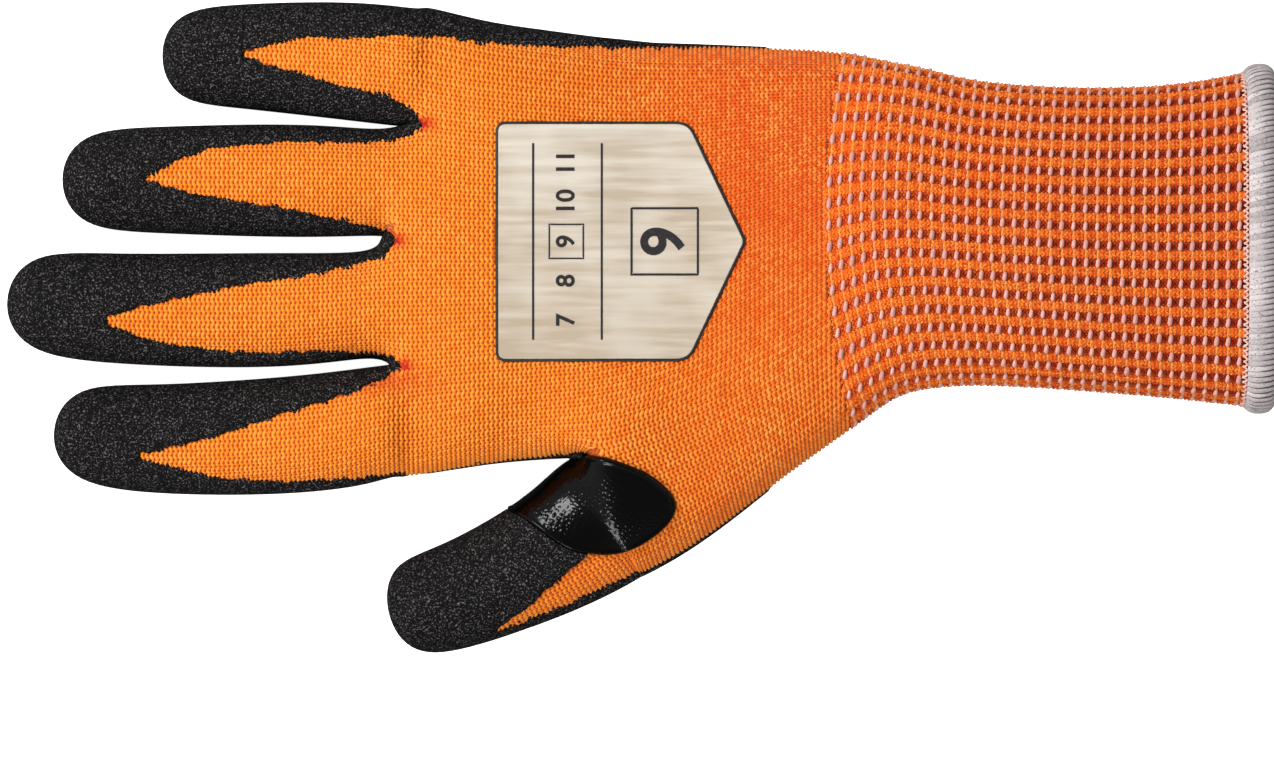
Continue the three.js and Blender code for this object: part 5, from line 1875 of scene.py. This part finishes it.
class GLOVE_OT_rib_stitches(bpy.types.Operator):
    """Lay four wales of stitches on each rib, with none under an elastic float"""

    bl_idname = "glove.rib_stitches"
    bl_label = "Rib stitches"

    def execute(self, context):
        cuff, knit = context.scene.glove_cuff, context.scene.glove_knit
        length = CUFF_SCALE[1][-1] - HEM_LAP - 0.4
        pitch = cuff.elastic_pitch / MM
        distances = np.arange(FIRST_COURSE - pitch / 4, length, pitch / 3)
        gathered = []
        for centre in (-0.375, -0.125, 0.125, 0.375):
            for side, slant in ((-0.062, 1), (0.062, -1)):
                phases = np.arange(RIB_COUNT) + centre + side
                points, out, lengthwise = rib_places(distances, phases, -0.02, pitch, cuff.pinch / MM)
                around = np.cross(out, lengthwise)
                along = lengthwise + around * 0.85 * slant
                along /= np.linalg.norm(along, axis=1, keepdims=True)
                reach = np.repeat(distances / length, RIB_COUNT)
                # Painted shade: the outer wales beside each groove are darkened, more towards the hem.
                deep = 0.3 + 0.65 * reach if abs(centre) > 0.25 else np.zeros(len(points))
                crossed = np.repeat(elastic_of((distances - FIRST_COURSE) / pitch), RIB_COUNT)
                deep = np.broadcast_to(deep, len(points))
                seen = (crossed < 0.5) | (abs(centre) < 0.25)
                # Painted shade: each rib darkens towards the hem, through the wrist attribute.
                rows = points, along, out, deep, crossed * 0.5, smooth(reach * 1.4) * 0.8
                gathered.append([x[seen] for x in rows])
        points, along, out, deep, laid_in, far = (np.concatenate(x) for x in zip(*gathered))
        size = np.tile((0.43, 0.19, 0.32), (len(points), 1))
        colours = cuff.rib, knit.light, cuff.far_rib_shade, cuff.groove, cuff.band
        yarn = knit_yarn("dyed polyester rib yarn", *colours, 0.9)
        values = {"Unevenness": 0.16, "Seed": 5}
        tones = {"fold": deep, "band": laid_in, "wrist": far}
        piece = lay_threads("rib_stitches", points, along, out, size, rib_leg(), yarn, values, tones)
        finish_piece(piece)
        return {"FINISHED"}


class GLOVE_OT_elastic(bpy.types.Operator):
    """Lay the elastic's floats across the grooves between ribs"""

    bl_idname = "glove.elastic"
    bl_label = "Elastic thread"

    def execute(self, context):
        cuff = context.scene.glove_cuff
        pitch = cuff.elastic_pitch / MM
        length = CUFF_SCALE[1][-1] - HEM_LAP - 0.6
        distances = np.arange(FIRST_COURSE, length, pitch)
        phases = np.arange(RIB_COUNT) + 0.5
        rows = row_at(distances)
        places, outward = cuff_rings(rows, phases / RIB_COUNT)
        lift = (RIB_DEPTH * 0.85 * rib_share(rows))[:, None, None]
        points = (places + outward * lift).reshape(-1, 3)
        out = outward.reshape(-1, 3)
        along = np.cross(out, np.array([1.0, 0, 0])) + (0.15, 0, 0)
        beyond = np.roll(places, -1, axis=1) - np.roll(places, 1, axis=1)
        wide = np.linalg.norm(beyond, axis=2).ravel() * 0.5 * 0.32
        size = np.stack([wide, np.full(len(wide), 0.42), np.full(len(wide), 0.5)], axis=1)
        thread = plain_thread("covered elastic thread", cuff.elastic, cuff.elastic_shadow)
        piece = lay_threads(
            "elastic_floats",
            points,
            along,
            out,
            size,
            round_thread(),
            thread,
            {"Unevenness": 0.12, "Seed": 7},
        )
        finish_piece(piece)

        crests = np.arange(RIB_COUNT)
        points, out, lengthwise = rib_places(distances, crests, -0.16, pitch, cuff.pinch / MM)
        along = np.cross(out, lengthwise) + lengthwise * 0.12
        size = np.tile((1.15, 0.21, 0.4), (len(points), 1))
        thread = plain_thread("laid-in rib thread", cuff.band, cuff.rib)
        piece = lay_threads(
            "crest_threads", points, along, out, size, round_thread(), thread, {"Unevenness": 0.1, "Seed": 9}
        )
        finish_piece(piece)
        return {"FINISHED"}


# Hem

HEM_SLOT = (RIB_DEPTH + CUFF_WALL + 0.6) / 2
HEM_TOP = [(0, HEM_SLOT / 2.6), (0.2, 0.92), (0.5, 1), (0.84, 0.72), (1, 0)]
HEM_ARC = [*HEM_TOP, *((x, -z) for x, z in HEM_TOP[-2::-1])]
HEM_COLUMNS = 240


def hem_section(scale=1.0):
    """The roll's outer curve from the lip round the far side to the inner lip, in millimetres along
    the glove and out from the roll's middle."""
    rows = curve_through(HEM_ARC, 3)
    return np.stack([rows[:, 0] * HEM_WIDTH, rows[:, 1] * HEM_THICKNESS / 2 * scale], axis=1)


def hem_rings(shares):
    lap = HEM_LAP / ((CUFF_ROWS[-1].along - CUFF_ROWS[-2].along) * CUFF_LENGTH)
    (lip, mouth), (_, outward) = cuff_rings([LAST_ROW - lap, LAST_ROW], shares)
    ahead = (mouth - lip) / HEM_LAP
    return lip, ahead, outward


class GLOVE_OT_hem(bpy.types.Operator):
    """Roll the hem over the cuff's edge and wrap it in overlock thread"""

    bl_idname = "glove.hem"
    bl_label = "Hem"

    def execute(self, context):
        hem = context.scene.glove_hem
        shares = np.arange(HEM_COLUMNS) / HEM_COLUMNS
        lip, ahead, outward = hem_rings(shares)
        section = hem_section(0.9)
        slot_end = HEM_LAP + 0.3
        section = np.concatenate([section, [(slot_end, -HEM_SLOT), (slot_end, HEM_SLOT)]])
        section[:, 0] = np.clip(section[:, 0], 0.15, HEM_WIDTH - 0.25)
        places = [lip + ahead * x + outward * (HEM_OFFSET + z) for x, z in section]
        faces = grid_faces(len(section), HEM_COLUMNS)
        first, last = np.arange(HEM_COLUMNS), (len(section) - 1) * HEM_COLUMNS + np.arange(HEM_COLUMNS)
        seam = np.stack([last, first, np.roll(first, -1), np.roll(last, -1)], axis=1)
        mesh = make_mesh("hem_roll", np.concatenate(places), np.concatenate([faces, seam]))
        # Painted shade: the roll's ground between the wraps is coloured all in the thread's shadow colour.
        cloth = plain_thread("overlocked hem ground", hem.shadow, hem.shadow)
        finish_piece(bpy.data.objects.new("hem_roll", mesh), cloth, "cuff_hem")

        wraps = np.arange(hem.wraps) / hem.wraps
        lip, ahead, outward = hem_rings(wraps)
        girth = np.linalg.norm(np.diff(np.concatenate([lip, lip[:1]]), axis=0), axis=1).sum()
        width = girth / hem.wraps
        points = lip + outward * HEM_OFFSET
        size = np.ones((len(points), 3))
        thread = plain_thread("overlock thread", hem.thread, hem.shadow)
        template = wrap_thread(width)
        piece = lay_threads(
            "hem_wraps", points, ahead, outward, size, template, thread, {"Unevenness": 0.015, "Seed": 11}
        )
        keep_above_floor(piece)
        finish_piece(piece)

        gathered = []
        for side, slant in ((0.0, 0.75), (0.5, -0.75)):
            lip, ahead, outward = hem_rings((np.arange(hem.wraps) + side) / hem.wraps)
            around = np.cross(outward, ahead)
            along = ahead + around * slant
            along /= np.linalg.norm(along, axis=1, keepdims=True)
            gathered.append((lip - ahead * 0.55 + outward * (RIB_DEPTH * 0.95), along, outward))
        points, along, out = (np.concatenate(x) for x in zip(*gathered))
        size = np.tile((0.85, 0.24, 0.4), (len(points), 1))
        thread = plain_thread("overlock chain thread", hem.chain, hem.thread)
        piece = lay_threads(
            "hem_chain", points, along, out, size, stitch_leg(), thread, {"Unevenness": 0.15, "Seed": 13}
        )
        finish_piece(piece)
        return {"FINISHED"}


def wrap_thread(width):
    """One turn of overlock thread round the roll, as wide as its share of the girth."""
    section = hem_section(1.0)
    ahead = np.gradient(section, axis=0)
    out = np.stack([ahead[:, 1], -ahead[:, 0]], axis=1) * -1
    out /= np.linalg.norm(out, axis=1, keepdims=True)
    points, count = [], len(section)
    for (x, z), (ox, oz) in zip(section, out):
        lean = (x / HEM_WIDTH - 0.5) * 0.9
        ridged = 0.3 + 0.7 * smooth((x / HEM_WIDTH - 0.35) / 0.25)
        for side, rise in ((-0.5, -0.26 * ridged), (-0.27, 0.05), (0.27, 0.05), (0.5, -0.26 * ridged)):
            points.append((x + ox * rise, side * width + lean, z + oz * rise))
    starts = [i * 4 + k for i in range(count - 1) for k in range(3)]
    faces = [[a, a + 1, a + 5, a + 4] for a in starts]
    mesh = make_mesh("wrap thread", points, faces, placed=True)
    # Painted shade: the thread darkens where it sinks at its edges, more over the far half, and all over the
    # hem's far side.
    reach = np.repeat(section[:, 0] / HEM_WIDTH, 4)
    sunk = np.tile([1.0, 0.0, 0.0, 1.0], count)
    furrow_shade = sunk * (0.2 + 0.7 * smooth((reach - 0.35) / 0.25))
    far_side_shade = smooth((reach - 0.4) / 0.5) * 0.4
    set_attribute(mesh, "turned", np.maximum(furrow_shade, far_side_shade))
    return mesh


def keep_above_floor(piece):
    co = np.zeros(len(piece.data.vertices) * 3, np.float32)
    piece.data.vertices.foreach_get("co", co)
    co = co.reshape(-1, 3)
    co[:, 2] = np.maximum(co[:, 2], 0)
    piece.data.vertices.foreach_set("co", co.ravel())
    piece.data.update()


# Stage

PHOTO_WIDTH = 0.2809
PHOTO_CENTRE = (-0.0001, -0.01345)
GLOVE_MIDDLE = 0.013
FLOOR_LEVEL = -0.0002


class GLOVE_OT_stage(bpy.types.Operator):
    """Set the glove on a pale floor under soft light, with the camera straight above"""

    bl_idname = "glove.stage"
    bl_label = "Stage"

    def execute(self, context):
        studio, scene = context.scene.glove_studio, context.scene
        half = 2.0
        sides = (-half, -half), (half, -half), (half, half), (-half, half)
        corners = [(x, y, FLOOR_LEVEL) for x, y in sides]
        mesh = make_mesh("floor", corners, [[0, 1, 2, 3]], placed=True)
        floor = bpy.data.objects.new("floor", mesh)
        scene.collection.objects.link(floor)
        material, tree = new_material("matt white paper")
        place = add(tree, "ShaderNodeTexCoord").outputs["Object"]
        grain = add(tree, "ShaderNodeTexNoise", {"Vector": place, "Scale": 30.0})
        share = add(tree, "ShaderNodeMapRange", {0: grain.outputs["Fac"], 4: 0.02})
        base = blend_colour(tree, share.outputs[0], studio.floor, linear("#e8e8e8"))
        settings = {
            "Base Color": base, "Roughness": 0.9, "Emission Color": (1, 1, 1, 1), "Emission Strength": 0.97
        }
        end_material(tree, add(tree, "ShaderNodeBsdfPrincipled", settings))
        mesh.materials.append(material)
        floor.visible_diffuse = floor.visible_glossy = False

        world = bpy.data.worlds.new("soft box")
        scene.world = world
        world.use_nodes = True
        tree = world.node_tree
        toward = add(tree, "ShaderNodeTexCoord").outputs["Generated"]
        parts = add(tree, "ShaderNodeSeparateXYZ", {0: toward}).outputs
        rise = parts[2]
        side = add(tree, "ShaderNodeMapRange", {0: parts[0], 1: -0.8, 2: 0.8, 3: 1.15, 4: 0.5})
        low = add(tree, "ShaderNodeMapRange", {0: rise, 1: -0.3, 2: -0.05, 3: 0.05, 4: studio.fill})
        high = add(tree, "ShaderNodeMapRange", {0: rise, 1: 0.55, 2: 1.0, 3: 1.0, 4: 0.3})
        height = add(tree, "ShaderNodeMath", {0: low.outputs[0], 1: high.outputs[0]}, operation="MULTIPLY")
        strength = add(
            tree, "ShaderNodeMath", {0: height.outputs[0], 1: side.outputs[0]}, operation="MULTIPLY"
        )
        background = tree.nodes["Background"]
        background.inputs[0].default_value = (1, 1, 1, 1)
        tree.links.new(strength.outputs[0], background.inputs[1])
        lamps = [
            ("key", (-0.75, 0.55, 0.85), 0.35, studio.key),
            ("low", (-0.55, -0.85, 0.7), 0.35, studio.key * 0.55),
            ("side", (0.8, 0.2, 0.9), 0.5, studio.key * 0.2),
        ]
        for name, place, width, power in lamps:
            lamp = bpy.data.lights.new(name, "AREA")
            lamp.energy, lamp.size = power, width
            holder = bpy.data.objects.new(name, lamp)
            holder.location = place
            holder.rotation_euler = (-Vector(place)).to_track_quat("-Z", "Y").to_euler()
            scene.collection.objects.link(holder)

        lens = bpy.data.cameras.new("camera")
        lens.sensor_fit = "HORIZONTAL"
        lens.lens = lens.sensor_width * studio.distance / PHOTO_WIDTH
        camera = bpy.data.objects.new("camera", lens)
        camera.location = (*PHOTO_CENTRE, studio.distance + GLOVE_MIDDLE)
        scene.collection.objects.link(camera)
        scene.camera = camera
        scene.view_settings.view_transform = "Standard"
        return {"FINISHED"}


class GLOVE_PT_panel(bpy.types.Panel):
    """The glove's pieces, sizes and colours."""

    bl_idname = "GLOVE_PT_panel"
    bl_label = "Work glove"
    bl_space_type = "VIEW_3D"
    bl_region_type = "UI"
    bl_category = "Glove"

    def draw(self, context):
        for operator in OPERATORS:
            self.layout.operator(operator.bl_idname)
        for key, group in GROUPS.items():
            box = self.layout.box()
            for name in group.__annotations__:
                box.prop(getattr(context.scene, key), name)


OPERATORS = (
    GLOVE_OT_stage,
    GLOVE_OT_knit_hand,
    GLOVE_OT_stitches,
    GLOVE_OT_coating,
    GLOVE_OT_patch,
    GLOVE_OT_label,
    GLOVE_OT_cuff,
    GLOVE_OT_rib_stitches,
    GLOVE_OT_elastic,
    GLOVE_OT_hem,
)
CLASSES = (*GROUPS.values(), *OPERATORS, GLOVE_PT_panel)


def register():
    for item in CLASSES:
        bpy.utils.register_class(item)
    for key, group in GROUPS.items():
        setattr(bpy.types.Scene, key, PointerProperty(type=group))


def unregister():
    for key in GROUPS:
        delattr(bpy.types.Scene, key)
    for item in reversed(CLASSES):
        bpy.utils.unregister_class(item)


def main():
    register()
    for operator in OPERATORS:
        group, name = operator.bl_idname.split(".")
        getattr(getattr(bpy.ops, group), name)()


if __name__ == "__main__":
    main()
